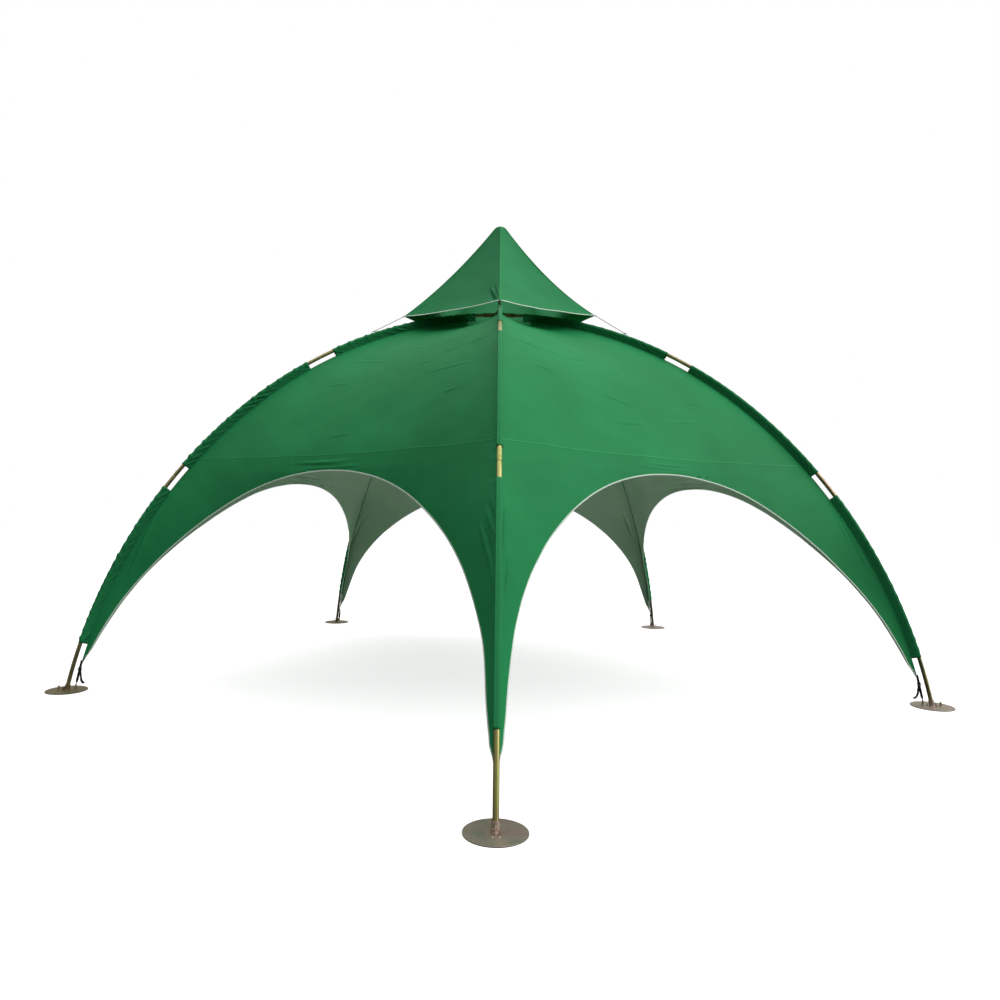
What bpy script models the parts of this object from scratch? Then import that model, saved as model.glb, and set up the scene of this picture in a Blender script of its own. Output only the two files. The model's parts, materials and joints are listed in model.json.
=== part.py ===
"""Event dome tent: five bent-tube arches, a ribbed fabric dome and a raised vent cap.

Five legs stand on a circle. Each leg is an arch of three bent steel tubes that slot into one
another and end in a socket of the central hub. A fabric fin with a pole sleeve rides on each
arch, and five canopy panels hang between the fins. A mast on the hub carries the vent cap.

Metres, +Z up. The model's ground plane is z = 0, and its origin is the middle of the box round
it. The front leg points along -Y.
"""

import bmesh
import bpy
from math import acos, asin, atan2, ceil, cos, exp, pi, radians, sin, sqrt, tau
from mathutils import Matrix, Vector

# Plan
LEG_NAMES = ("front", "right", "back_right", "back_left", "left")
PANEL_NAMES = ("front_right", "right", "back", "left", "front_left")
LEG_COUNT = len(LEG_NAMES)
FRONT_LEG_HEADING = radians(-90)
LEG_STEP = tau / LEG_COUNT
HALF_STEP = LEG_STEP / 2
LEG_CIRCLE_RADIUS = 4.0
# The front foot reaches further from the hub than the back feet, so the hub stands behind the
# middle of the box
HUB_SETBACK = LEG_CIRCLE_RADIUS * (1 - cos(HALF_STEP)) / 2

# Arch of bent tube; angles are those of the arch's outward normal above the horizontal
TUBE_RADIUS = 0.017
TUBE_WALL = 0.002
FOOT_LEAN = radians(11.1)
LOWER_BEND_RADIUS = 4.86
UPPER_BEND_RADIUS = 4.21
BEND_CHANGE_ANGLE = radians(46.5)
LOWER_JOINT_ANGLE = radians(36.2)
UPPER_JOINT_ANGLE = radians(59.0)
ARCH_STEP = radians(5.0)
SWAGE_LENGTH = 0.10
SWAGE_TAPER = 0.008
SWAGE_CLEARANCE = 0.0005
TUBE_SIDES = 10
TUBE_FOOT_HEIGHT = 0.009
BUTT_GAP = 0.0005

# Hub and mast
HUB_RADIUS = 0.048
HUB_HEIGHT = 0.11
SOCKET_RADIUS = 0.0215
SOCKET_CLEARANCE = 0.0005
SOCKET_REACH = 0.17
SOCKET_FLOOR = 0.036
TUBE_TOP_REACH = 0.040
MAST_RADIUS = 0.016
MAST_WALL = 0.002
MAST_SEAT_DEPTH = 0.060
HUB_SIDES = 20

# Foot
PLATE_RADIUS = 0.170
PLATE_THICKNESS = 0.006
PLATE_SIDES = 40
FOOT_SOCKET_HEIGHT = 0.055
GUSSET_REACH = 0.022
GUSSET_HEIGHT = 0.042
GUSSET_THICKNESS = 0.005
EYE_BAR_RADIUS = 0.004
EYE_HEIGHT = 0.048
EYE_HALF_WIDTH = 0.018
EYE_CORNER = 0.006
INNER_EYE_REACH = -0.073
OUTER_EYE_REACH = 0.063
STUD_REACH = -0.040
STUD_RADIUS = 0.004
STUD_HEIGHT = 0.022

# Fin and sleeve
SLEEVE_WALL = 0.0015
SLEEVE_BORE_RADIUS = 0.0182
FIN_DEPTH = 0.0575
FIN_THICKNESS = 0.004
RIDGE_STRIP = 0.014
SLEEVE_FOOT_ANGLE = radians(16.2)
SLEEVE_TOP_REACH = 0.27
WINDOW_LENGTH = 0.26

# Canopy panels
CLOTH_THICKNESS = 0.003
PANEL_EDGE_SETBACK = 0.006
LEG_TIP_ANGLE = radians(14.3)
DOOR_ROOT_ANGLE = radians(9.9)
DOOR_TOP_ANGLE = radians(38.0)
SEAM_ANGLE = radians(39.3)
VENT_CUSP_ANGLE = radians(81.0)
VENT_DIP = radians(2.5)
DOOR_SAG = 0.15
TIP_TAUTNESS = 0.45
TIP_TAUT_RISE = 0.15
TIP_TAUT_SPAN = 0.12
PANEL_SAG = 0.05
SHOULDER_SAG = 0.025
WING_STRIP = 0.028
WING_STRIP_ANGLE = radians(17.8)
WING_STRIP_SPAN = radians(4.2)
DOOR_ROWS = 7
PANEL_ROWS = 9
HALF_COLUMNS = 4

# Vent cap
PEAK_HEIGHT = 4.69
PEAK_RADIUS = 0.06
CAP_CORNER_REACH = 1.02
CAP_CORNER_HEIGHT = 3.62
CAP_RIDGE_SAG = 0.08
CAP_EDGE_SAG = 0.06
CAP_ROWS = 7
CAP_COLUMNS = 6
PEAK_DISC_THICKNESS = 0.005
PEAK_DISC_RADIUS = PEAK_RADIUS * cos(HALF_STEP) - 0.006
CLOTH_GAP = 0.0005

# Ties and straps
TIE_RADIUS = 0.0028
TIE_ARCH_ANGLE = radians(67.2)
STRAP_WIDTH = 0.020
STRAP_THICKNESS = 0.0035
STRAP_EYE_GAP = 0.0008
BUCKLE_SIZE = (0.014, 0.030, 0.026)
BUCKLE_HEIGHT = 0.185
TAIL_POINTS = ((-0.006, -0.045), (-0.009, -0.085), (-0.028, -0.125))


def clear_scene():
    """Remove every object that the scene starts with."""
    for thing in list(bpy.data.objects):
        bpy.data.objects.remove(thing, do_unlink=True)


def make_material(name, colour, roughness, metallic=0.0):
    """Make a Principled material from an sRGB-like colour already in linear values."""
    material = bpy.data.materials.new(name)
    material.use_nodes = True
    shader = material.node_tree.nodes["Principled BSDF"]
    shader.inputs["Base Color"].default_value = (*colour, 1.0)
    shader.inputs["Roughness"].default_value = roughness
    shader.inputs["Metallic"].default_value = metallic
    material.diffuse_color = (*colour, 1.0)
    return material


# Arch line

LOWER_CENTRE = Vector((LEG_CIRCLE_RADIUS - LOWER_BEND_RADIUS * cos(FOOT_LEAN), 0.0,
                       -LOWER_BEND_RADIUS * sin(FOOT_LEAN)))
UPPER_CENTRE = LOWER_CENTRE + (LOWER_BEND_RADIUS - UPPER_BEND_RADIUS) * Vector(
    (cos(BEND_CHANGE_ANGLE), 0.0, sin(BEND_CHANGE_ANGLE)))


def normal_at(angle):
    """Outward normal of the arch, in its own plane."""
    return Vector((cos(angle), 0.0, sin(angle)))


def true_arch(angle, offset=0.0):
    """Point on the two-radius arch, in the plane of a leg that points along +X."""
    if angle < BEND_CHANGE_ANGLE:
        return LOWER_CENTRE + (LOWER_BEND_RADIUS + offset) * normal_at(angle)
    return UPPER_CENTRE + (UPPER_BEND_RADIUS + offset) * normal_at(angle)


def bend_radius(angle):
    """Bend radius of the arch at an angle."""
    return LOWER_BEND_RADIUS if angle < BEND_CHANGE_ANGLE else UPPER_BEND_RADIUS


def angle_at_reach(reach):
    """Angle at which the upper arch is this far from the mast's axis."""
    return acos((reach - UPPER_CENTRE.x) / UPPER_BEND_RADIUS)


def angle_at_height(height):
    """Angle at which the lower arch is at this height."""
    return asin((height - LOWER_CENTRE.z) / LOWER_BEND_RADIUS)


CROWN_ANGLE = angle_at_reach(0.0)
CROWN_HEIGHT = true_arch(CROWN_ANGLE).z


def base_angles():
    """Angles of the corners of the many-sided line that every swept piece follows."""
    start = radians(8.0)
    count = ceil((CROWN_ANGLE + radians(1.0) - start) / ARCH_STEP)
    return [start + index * ARCH_STEP for index in range(count + 1)]


def arch_frame(angle):
    """Point and outward normal on the many-sided arch line at an angle."""
    corners = base_angles()
    for low, high in zip(corners, corners[1:]):
        if low <= angle <= high:
            part = (angle - low) / (high - low)
            if part < 1e-6 or part > 1 - 1e-6:
                return true_arch(angle), normal_at(angle)
            start, end = true_arch(low), true_arch(high)
            along = (end - start).normalized()
            return start.lerp(end, part), Vector((along.z, 0.0, -along.x))
    return true_arch(angle), normal_at(angle)


def stations(start, end):
    """Angles from start to end with every corner of the arch line between them."""
    inner = [angle for angle in base_angles() if start + 1e-4 < angle < end - 1e-4]
    return [start, *inner, end]


def arch_length_to_angle(angle, length):
    """Angle that lies a length further along the arch."""
    return angle + length / bend_radius(angle)


# Meshes

def link_object(name, mesh, material, parent=None, heading=0.0):
    """Add one named object with its material under a parent, turned to its heading."""
    thing = bpy.data.objects.new(name, mesh)
    bpy.context.collection.objects.link(thing)
    if material is not None and not mesh.materials:
        mesh.materials.append(material)
    thing.parent = parent
    thing.rotation_euler.z = heading
    return thing


def finish_mesh(mesh_builder, name, sharp=radians(35)):
    """Turn a bmesh into a smooth-shaded mesh with outward faces and sharp corners."""
    bmesh.ops.recalc_face_normals(mesh_builder, faces=mesh_builder.faces)
    mesh = bpy.data.meshes.new(name)
    mesh_builder.to_mesh(mesh)
    mesh_builder.free()
    mesh.shade_smooth()
    mesh.set_sharp_from_angle(angle=sharp)
    return mesh


def swept_mesh(name, rings, closed_bore=None):
    """Skin rings of points into one closed solid; a second list of rings is its bore."""
    builder = bmesh.new()
    outer = [[builder.verts.new(point) for point in ring] for ring in rings]
    skin_rings(builder, outer)
    if closed_bore is None:
        builder.faces.new(outer[0])
        builder.faces.new(list(reversed(outer[-1])))
    else:
        inner = [[builder.verts.new(point) for point in ring] for ring in closed_bore]
        skin_rings(builder, inner)
        for ring_out, ring_in in ((outer[0], inner[0]), (outer[-1], inner[-1])):
            skin_rings(builder, [ring_out, ring_in])
    return finish_mesh(builder, name)


def skin_rings(builder, rings):
    """Join each ring of vertices to the next with quads."""
    for ring, following in zip(rings, rings[1:]):
        count = len(ring)
        for index in range(count):
            after = (index + 1) % count
            builder.faces.new((ring[index], ring[after], following[after], following[index]))


def circle_ring(centre, normal, radius, sides=TUBE_SIDES):
    """Ring of points round a centre, in the plane of a normal and the sideways axis."""
    side = Vector((0.0, 1.0, 0.0))
    turns = [tau * (index + 0.5) / sides for index in range(sides)]
    return [centre + radius * (cos(turn) * normal + sin(turn) * side) for turn in turns]


def arch_rings(angles_and_radii):
    """Rings along the arch line, one for each pair of an angle and a radius."""
    rings = []
    for angle, radius in angles_and_radii:
        centre, normal = arch_frame(angle)
        rings.append(circle_ring(centre, normal, radius))
    return rings


def box_mesh(name, size, centre, turn=0.0):
    """Box of a size at a centre, turned about the sideways axis."""
    builder = bmesh.new()
    bmesh.ops.create_cube(builder, size=1.0)
    shape = Matrix.Translation(centre) @ Matrix.Rotation(turn, 4, "Y") @ Matrix.Diagonal(
        (*size, 1.0))
    bmesh.ops.transform(builder, matrix=shape, verts=builder.verts)
    return finish_mesh(builder, name)


def cylinder_mesh(name, radius, bottom, top, sides=12):
    """Cylinder between two points."""
    axis = top - bottom
    builder = bmesh.new()
    bmesh.ops.create_cone(builder, cap_ends=True, segments=sides, radius1=radius,
                          radius2=radius, depth=axis.length)
    turn = axis.to_track_quat("Z", "Y").to_matrix().to_4x4()
    bmesh.ops.transform(builder, matrix=Matrix.Translation((bottom + top) / 2) @ turn,
                        verts=builder.verts)
    return finish_mesh(builder, name)


def boolean_mesh(name, base_mesh, joined=(), removed=()):
    """Mesh of a base with other meshes joined to it and then others cut out of it."""
    base = link_object(name + "_base", base_mesh, None)
    helpers = []
    for operation, meshes in (("UNION", joined), ("DIFFERENCE", removed)):
        for mesh in meshes:
            tool = link_object(name + "_tool", mesh, None)
            tool.hide_render = True
            tool.display_type = "WIRE"
            helpers.append(tool)
            modifier = base.modifiers.new(operation.lower(), "BOOLEAN")
            modifier.operation = operation
            modifier.solver = "EXACT"
            modifier.object = tool
    bpy.context.view_layer.update()
    evaluated = base.evaluated_get(bpy.context.evaluated_depsgraph_get())
    result = bpy.data.meshes.new_from_object(evaluated)
    result.name = name
    result.materials.clear()
    for thing in (base, *helpers):
        bpy.data.objects.remove(thing, do_unlink=True)
    return result


# Poles

def pole_mesh(name, start, end, swaged):
    """Bent tube with an open bore, and a thinner swaged end when another slots over it."""
    bore = TUBE_RADIUS - TUBE_WALL
    if not swaged:
        angles = stations(start, end)
        return swept_mesh(name, arch_rings([(angle, TUBE_RADIUS) for angle in angles]),
                          arch_rings([(angle, bore) for angle in angles]))
    shoulder = end
    taper = arch_length_to_angle(shoulder, SWAGE_TAPER)
    bore_shoulder = arch_length_to_angle(shoulder, -SWAGE_TAPER)
    tip = arch_length_to_angle(shoulder, SWAGE_LENGTH)
    thin = bore - SWAGE_CLEARANCE
    outer = [(angle, TUBE_RADIUS) for angle in stations(start, shoulder)]
    outer += [(angle, thin) for angle in stations(taper, tip)]
    inner = [(angle, bore) for angle in stations(start, bore_shoulder)]
    inner += [(angle, thin - TUBE_WALL) for angle in stations(shoulder, tip)]
    return swept_mesh(name, arch_rings(outer), arch_rings(inner))


def build_poles(material, centre):
    """Lower, middle and upper tube of each arch."""
    half_gap = BUTT_GAP / 2
    lower_foot = angle_at_height(TUBE_FOOT_HEIGHT)
    lower_top = arch_length_to_angle(LOWER_JOINT_ANGLE, -half_gap)
    middle_foot = arch_length_to_angle(LOWER_JOINT_ANGLE, SWAGE_TAPER)
    middle_top = arch_length_to_angle(UPPER_JOINT_ANGLE, -half_gap)
    upper_foot = arch_length_to_angle(UPPER_JOINT_ANGLE, SWAGE_TAPER)
    upper_top = angle_at_reach(TUBE_TOP_REACH)
    sections = {
        "pole_lower": pole_mesh("pole_lower", lower_foot, lower_top, True),
        "pole_middle": pole_mesh("pole_middle", middle_foot, middle_top, True),
        "pole_upper": pole_mesh("pole_upper", upper_foot, upper_top, False),
    }
    for section, mesh in sections.items():
        for index, leg in enumerate(LEG_NAMES):
            link_object(f"{section}_{leg}", mesh, material, centre, leg_heading(index))


def leg_heading(index):
    """Heading of a leg, counted from the front leg towards the right."""
    return FRONT_LEG_HEADING + index * LEG_STEP


# Hub, mast and peak disc

def build_hub(material, centre):
    """Hub with one socket for each arch and a seat for the mast."""
    middle = CROWN_HEIGHT
    body = cylinder_mesh("hub_body", HUB_RADIUS, Vector((0, 0, middle - HUB_HEIGHT / 2)),
                         Vector((0, 0, middle + HUB_HEIGHT / 2)), HUB_SIDES)
    mouth, floor = angle_at_reach(SOCKET_REACH), angle_at_reach(SOCKET_FLOOR)
    past_mouth = angle_at_reach(SOCKET_REACH + 0.01)
    inside_body = angle_at_reach(SOCKET_FLOOR - 0.01)
    sockets, bores = [], []
    for index in range(LEG_COUNT):
        turn = Matrix.Rotation(leg_heading(index), 4, "Z")
        socket = swept_mesh("socket", arch_rings(
            [(angle, SOCKET_RADIUS) for angle in stations(mouth, inside_body)]))
        bore = swept_mesh("socket_bore", arch_rings(
            [(angle, TUBE_RADIUS + SOCKET_CLEARANCE) for angle in stations(past_mouth, floor)]))
        socket.transform(turn)
        bore.transform(turn)
        sockets.append(socket)
        bores.append(bore)
    seat = cylinder_mesh("mast_seat", MAST_RADIUS + SOCKET_CLEARANCE,
                         Vector((0, 0, mast_foot_height() - SOCKET_CLEARANCE)),
                         Vector((0, 0, middle + HUB_HEIGHT)), HUB_SIDES)
    mesh = boolean_mesh("hub", body, joined=sockets, removed=[*bores, seat])
    link_object("hub", mesh, material, centre)


def mast_foot_height():
    """Height of the mast's foot inside the hub."""
    return CROWN_HEIGHT + HUB_HEIGHT / 2 - MAST_SEAT_DEPTH


def build_mast(material, centre):
    """Hollow mast from the hub up to the disc under the cap's peak."""
    foot = mast_foot_height()
    top = peak_disc_top() - PEAK_DISC_THICKNESS - CLOTH_GAP
    levels = (foot, top)
    outer = [circle_of(MAST_RADIUS, level) for level in levels]
    inner = [circle_of(MAST_RADIUS - MAST_WALL, level) for level in levels]
    link_object("mast", swept_mesh("mast", outer, inner), material, centre)


def circle_of(radius, height, sides=HUB_SIDES):
    """Level ring of points about the mast's axis."""
    turns = [tau * (index + 0.5) / sides for index in range(sides)]
    return [Vector((radius * cos(turn), radius * sin(turn), height)) for turn in turns]


def peak_disc_top():
    """Height of the peak disc's top, just under the cap cloth."""
    return PEAK_HEIGHT - CLOTH_THICKNESS - CLOTH_GAP


def build_peak_disc(material, centre):
    """Disc that spreads the cap's peak, with a plug that sits inside the mast."""
    top = peak_disc_top()
    bottom = top - PEAK_DISC_THICKNESS
    plug_radius = MAST_RADIUS - MAST_WALL - SOCKET_CLEARANCE
    rings = [circle_of(plug_radius, bottom - 0.04), circle_of(plug_radius, bottom),
             circle_of(PEAK_DISC_RADIUS, bottom), circle_of(PEAK_DISC_RADIUS, top)]
    link_object("peak_disc", swept_mesh("peak_disc", rings), material, centre)


# Feet

def eye_mesh(reach):
    """Square-shouldered eye of round bar that stands across the plate."""
    straight = EYE_HALF_WIDTH - EYE_CORNER
    shoulder = EYE_HEIGHT - EYE_BAR_RADIUS - EYE_CORNER
    path = [(-EYE_HALF_WIDTH, PLATE_THICKNESS / 2)]
    for step in range(4):
        turn = pi - step * pi / 6
        path.append((-straight + EYE_CORNER * cos(turn), shoulder + EYE_CORNER * sin(turn)))
    for step in range(4):
        turn = pi / 2 - step * pi / 6
        path.append((straight + EYE_CORNER * cos(turn), shoulder + EYE_CORNER * sin(turn)))
    path.append((EYE_HALF_WIDTH, PLATE_THICKNESS / 2))
    points = [Vector((LEG_CIRCLE_RADIUS + reach, across, height)) for across, height in path]
    rings = []
    for index, point in enumerate(points):
        before = points[max(index - 1, 0)]
        after = points[min(index + 1, len(points) - 1)]
        along = (after - before).normalized()
        outward = Vector((1.0, 0.0, 0.0))
        across = along.cross(outward)
        turns = [tau * (corner + 0.5) / 8 for corner in range(8)]
        rings.append([point + EYE_BAR_RADIUS * (cos(turn) * outward + sin(turn) * across)
                      for turn in turns])
    return swept_mesh("eye", rings)


def gusset_mesh():
    """Triangular gusset on the outer side of the foot socket."""
    inner = SOCKET_RADIUS * 0.8
    low = PLATE_THICKNESS / 2
    corners = ((inner, low), (SOCKET_RADIUS + GUSSET_REACH, low),
               (SOCKET_RADIUS + GUSSET_REACH, low + 0.008), (inner, low + GUSSET_HEIGHT))
    rings = []
    for side in (-GUSSET_THICKNESS / 2, GUSSET_THICKNESS / 2):
        rings.append([Vector((LEG_CIRCLE_RADIUS + reach - height * sin(FOOT_LEAN), side, height))
                      for reach, height in corners])
    return swept_mesh("gusset", rings)


def build_feet(material, centre):
    """Round base plate with a leaning socket, a gusset, two eyes and a stud."""
    plate = cylinder_mesh("plate", PLATE_RADIUS, Vector((LEG_CIRCLE_RADIUS, 0, 0)),
                          Vector((LEG_CIRCLE_RADIUS, 0, PLATE_THICKNESS)), PLATE_SIDES)
    low = angle_at_height(PLATE_THICKNESS / 2)
    high = angle_at_height(FOOT_SOCKET_HEIGHT)
    floor = angle_at_height(TUBE_FOOT_HEIGHT - 0.0005)
    past = angle_at_height(FOOT_SOCKET_HEIGHT + 0.02)
    socket = swept_mesh("foot_socket", arch_rings(
        [(angle, SOCKET_RADIUS) for angle in stations(low, high)]))
    bore = swept_mesh("foot_bore", arch_rings(
        [(angle, TUBE_RADIUS + SOCKET_CLEARANCE) for angle in stations(floor, past)]))
    stud_foot = Vector((LEG_CIRCLE_RADIUS + STUD_REACH, 0, PLATE_THICKNESS / 2))
    stud = cylinder_mesh("stud", STUD_RADIUS, stud_foot,
                         stud_foot + Vector((0, 0, STUD_HEIGHT)), 8)
    eyes = [eye_mesh(INNER_EYE_REACH), eye_mesh(OUTER_EYE_REACH)]
    mesh = boolean_mesh("foot", plate, joined=[socket, gusset_mesh(), stud, *eyes],
                        removed=[bore])
    for index, leg in enumerate(LEG_NAMES):
        link_object(f"foot_{leg}", mesh, material, centre, leg_heading(index))


# Fins and sleeves

def keyhole_ring(centre, normal, radius):
    """Outer ring of the sleeve section, whose foot runs down as a thin fin."""
    side = Vector((0.0, 1.0, 0.0))
    half = FIN_THICKNESS / 2
    start = asin(half / radius)
    turns = [pi + start + (tau - 2 * start) * index / TUBE_SIDES for index in range(TUBE_SIDES + 1)]
    ring = [centre + radius * (cos(turn) * normal + sin(turn) * side) for turn in turns]
    ring.append(centre - FIN_DEPTH * normal + half * side)
    ring.append(centre - FIN_DEPTH * normal - half * side)
    return ring


def keyhole_bore(centre, normal, radius):
    """Bore of the sleeve, with as many points as its outer ring."""
    side = Vector((0.0, 1.0, 0.0))
    start = asin(FIN_THICKNESS / 2 / radius)
    turns = [pi + start + (tau - 2 * start) * index / TUBE_SIDES for index in range(TUBE_SIDES + 1)]
    turns += [pi + start / 3, pi - start / 3][::-1]
    return [centre + radius * (cos(turn) * normal + sin(turn) * side) for turn in turns]


def window_cutter(joint_angle):
    """Box that opens the sleeve round a pole joint but leaves the strip along the fin's foot."""
    centre, normal = true_arch(joint_angle), normal_at(joint_angle)
    depth = FIN_DEPTH - RIDGE_STRIP + 0.06
    middle = centre + (0.06 - depth / 2) * normal
    return box_mesh("window", (depth, 0.12, WINDOW_LENGTH), middle, -joint_angle)


def build_sleeves(material, centre):
    """Fin with a pole sleeve along each arch, opened by a window at each pole joint."""
    angles = stations(SLEEVE_FOOT_ANGLE, angle_at_reach(SLEEVE_TOP_REACH))
    outer, inner = [], []
    for angle in angles:
        point, normal = arch_frame(angle)
        outer.append(keyhole_ring(point, normal, SLEEVE_BORE_RADIUS + SLEEVE_WALL))
        inner.append(keyhole_bore(point, normal, SLEEVE_BORE_RADIUS))
    whole = swept_mesh("sleeve_whole", outer, inner)
    cutters = [window_cutter(LOWER_JOINT_ANGLE), window_cutter(UPPER_JOINT_ANGLE)]
    mesh = boolean_mesh("arch_sleeve", whole, removed=cutters)
    for index, leg in enumerate(LEG_NAMES):
        link_object(f"arch_sleeve_{leg}", mesh, material, centre, leg_heading(index))


# Canopy panels

def door_rise(angle):
    """Place of an angle between the foot of the doorway's curve and its top."""
    rise = (angle - DOOR_ROOT_ANGLE) / (DOOR_TOP_ANGLE - DOOR_ROOT_ANGLE)
    return min(1.0, max(0.0, rise))


def door_share(angle):
    """Share of the panel's width that each wing takes beside the doorway at an angle."""
    along = 1 - sqrt(1 - door_rise(angle))
    strip = WING_STRIP * exp(-((angle - WING_STRIP_ANGLE) / WING_STRIP_SPAN) ** 2)
    half_width = true_arch(angle, -FIN_DEPTH).x * sin(HALF_STEP)
    return (along ** 2 + strip / half_width) / 2


def door_edge_sag(angle):
    """How far the doorway's free edge is drawn in from the straight line between arches."""
    rise = door_rise(angle)
    taut = TIP_TAUTNESS * exp(-(rise - TIP_TAUT_RISE) / TIP_TAUT_SPAN)
    return DOOR_SAG * rise ** 0.75 * (1 - taut)


def panel_sag(angle):
    """Inward sag of the cloth at the free edge or mid line at an angle."""
    if angle <= DOOR_TOP_ANGLE:
        return door_edge_sag(angle)
    if angle <= SEAM_ANGLE:
        band = (angle - DOOR_TOP_ANGLE) / (SEAM_ANGLE - DOOR_TOP_ANGLE)
        return DOOR_SAG + (PANEL_SAG - DOOR_SAG) * band
    rise = (angle - SEAM_ANGLE) / (VENT_CUSP_ANGLE - SEAM_ANGLE)
    return PANEL_SAG + SHOULDER_SAG * sin(pi * rise ** 2)


def panel_point(angle, share, wing):
    """Point of a panel whose mid line points along +X, at a share of its half width."""
    edge = true_arch(angle, -FIN_DEPTH)
    across = edge.x * sin(HALF_STEP) - PANEL_EDGE_SETBACK * cos(HALF_STEP)
    reach = edge.x * cos(HALF_STEP) + PANEL_EDGE_SETBACK * sin(HALF_STEP)
    sag = panel_sag(angle) * (2 * wing - wing ** 2)
    point = Vector((reach, across * (1 - 2 * share), edge.z)) - sag * normal_at(angle)
    return clear_of_fin(point)


def clear_of_fin(point):
    """Keep a point of the left half of a panel on its own side of the fin."""
    away_from_fin = Vector((sin(HALF_STEP), -cos(HALF_STEP), 0.0))
    short = PANEL_EDGE_SETBACK - point.dot(away_from_fin)
    return point + max(0.0, short) * away_from_fin


def panel_rows():
    """Rows of one half of a panel, from the leg tip to the vent edge."""
    fractions = [index / HALF_COLUMNS for index in range(HALF_COLUMNS + 1)]
    tip_rise = (LEG_TIP_ANGLE - DOOR_ROOT_ANGLE) / (DOOR_TOP_ANGLE - DOOR_ROOT_ANGLE)
    tip_along = 1 - sqrt(1 - tip_rise)
    rows = []
    for step in range(DOOR_ROWS + 1):
        along = tip_along + (1 - tip_along) * step / DOOR_ROWS
        angle = DOOR_ROOT_ANGLE + (DOOR_TOP_ANGLE - DOOR_ROOT_ANGLE) * (1 - (1 - along) ** 2)
        share = door_share(angle) if step < DOOR_ROWS else 0.5
        rows.append([panel_point(angle, share * part, part) for part in fractions])
    rows.append([panel_point(SEAM_ANGLE, part / 2, part) for part in fractions])
    for step in range(1, PANEL_ROWS + 1):
        row = []
        for part in fractions:
            vent = VENT_CUSP_ANGLE - VENT_DIP * (2 * part - part ** 2)
            angle = SEAM_ANGLE + (vent - SEAM_ANGLE) * step / PANEL_ROWS
            row.append(panel_point(angle, part / 2, part))
        rows.append(row)
    return rows


def panel_mesh():
    """Open surface of one panel: two wings that meet above the doorway."""
    builder = bmesh.new()
    rows = panel_rows()
    for mirror in (1, -1):
        grid = [[builder.verts.new((point.x, mirror * point.y, point.z)) for point in row]
                for row in rows]
        for row, following in zip(grid, grid[1:]):
            for column in range(HALF_COLUMNS):
                corners = (row[column], row[column + 1], following[column + 1], following[column])
                builder.faces.new(corners[::mirror])
    bmesh.ops.remove_doubles(builder, verts=builder.verts, dist=0.0001)
    mesh = bpy.data.meshes.new("canopy_panel")
    builder.to_mesh(mesh)
    builder.free()
    mesh.shade_smooth()
    return mesh


def thicken(thing):
    """Give a cloth surface its thickness, half to each side."""
    modifier = thing.modifiers.new("cloth", "SOLIDIFY")
    modifier.thickness = CLOTH_THICKNESS
    modifier.offset = 0.0
    modifier.use_even_offset = True


def build_panels(material, centre):
    """One panel between each pair of neighbouring arches."""
    mesh = panel_mesh()
    for index, place in enumerate(PANEL_NAMES):
        heading = leg_heading(index) + HALF_STEP
        thicken(link_object(f"canopy_panel_{place}", mesh, material, centre, heading))


# Vent cap

def cap_point(fall, part):
    """Point of one fifth of the cap, from the peak down to the edge and between two ridges."""
    reach = PEAK_RADIUS + (CAP_CORNER_REACH - PEAK_RADIUS) * fall
    drop = (PEAK_HEIGHT - CAP_CORNER_HEIGHT) * fall
    height = PEAK_HEIGHT - CLOTH_THICKNESS / 2 - drop - CAP_RIDGE_SAG * 4 * fall * (1 - fall)
    sag = CAP_EDGE_SAG * fall * 4 * part * (1 - part)
    return Vector((reach * cos(HALF_STEP) - sag, reach * sin(HALF_STEP) * (1 - 2 * part), height))


def build_cap(material, centre):
    """Five-sided cap with hollow ridges and edges and a small flat peak."""
    builder = bmesh.new()
    hub_top = builder.verts.new((0.0, 0.0, PEAK_HEIGHT - CLOTH_THICKNESS / 2))
    for index in range(LEG_COUNT):
        turn = Matrix.Rotation(leg_heading(index) + HALF_STEP, 4, "Z")
        grid = [[builder.verts.new(turn @ cap_point(row / CAP_ROWS, column / CAP_COLUMNS))
                 for column in range(CAP_COLUMNS + 1)] for row in range(CAP_ROWS + 1)]
        for row, following in zip(grid, grid[1:]):
            for column in range(CAP_COLUMNS):
                builder.faces.new((row[column], row[column + 1], following[column + 1],
                                   following[column])[::-1])
        for column in range(CAP_COLUMNS):
            builder.faces.new((hub_top, grid[0][column + 1], grid[0][column]))
    bmesh.ops.remove_doubles(builder, verts=builder.verts, dist=0.0001)
    bmesh.ops.recalc_face_normals(builder, faces=builder.faces)
    mesh = bpy.data.meshes.new("vent_cap")
    builder.to_mesh(mesh)
    builder.free()
    mesh.shade_smooth()
    thicken(link_object("vent_cap", mesh, material, centre))


# Ties and straps

def build_ties(material, centre):
    """Taut tie from each corner of the cap down to the arch below it."""
    corner = Vector((CAP_CORNER_REACH, 0.0, CAP_CORNER_HEIGHT))
    arch_end = true_arch(TIE_ARCH_ANGLE, SLEEVE_BORE_RADIUS + SLEEVE_WALL + TIE_RADIUS)
    along = (arch_end - corner).normalized()
    mesh = cylinder_mesh("cap_tie", TIE_RADIUS, corner + 0.006 * along, arch_end, 8)
    for index, leg in enumerate(LEG_NAMES):
        link_object(f"cap_tie_{leg}", mesh, material, centre, leg_heading(index))


def band_mesh(name, points, thickness):
    """Flat band across the arch's plane along a line of points in that plane."""
    rings = []
    for index, point in enumerate(points):
        before = points[max(index - 1, 0)]
        after = points[min(index + 1, len(points) - 1)]
        along = (after - before).normalized()
        out = Vector((along.z, 0.0, -along.x)) * thickness / 2
        side = Vector((0.0, STRAP_WIDTH / 2, 0.0))
        rings.append([point + out + side, point + out - side, point - out - side,
                      point - out + side])
    return swept_mesh(name, rings)


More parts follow.
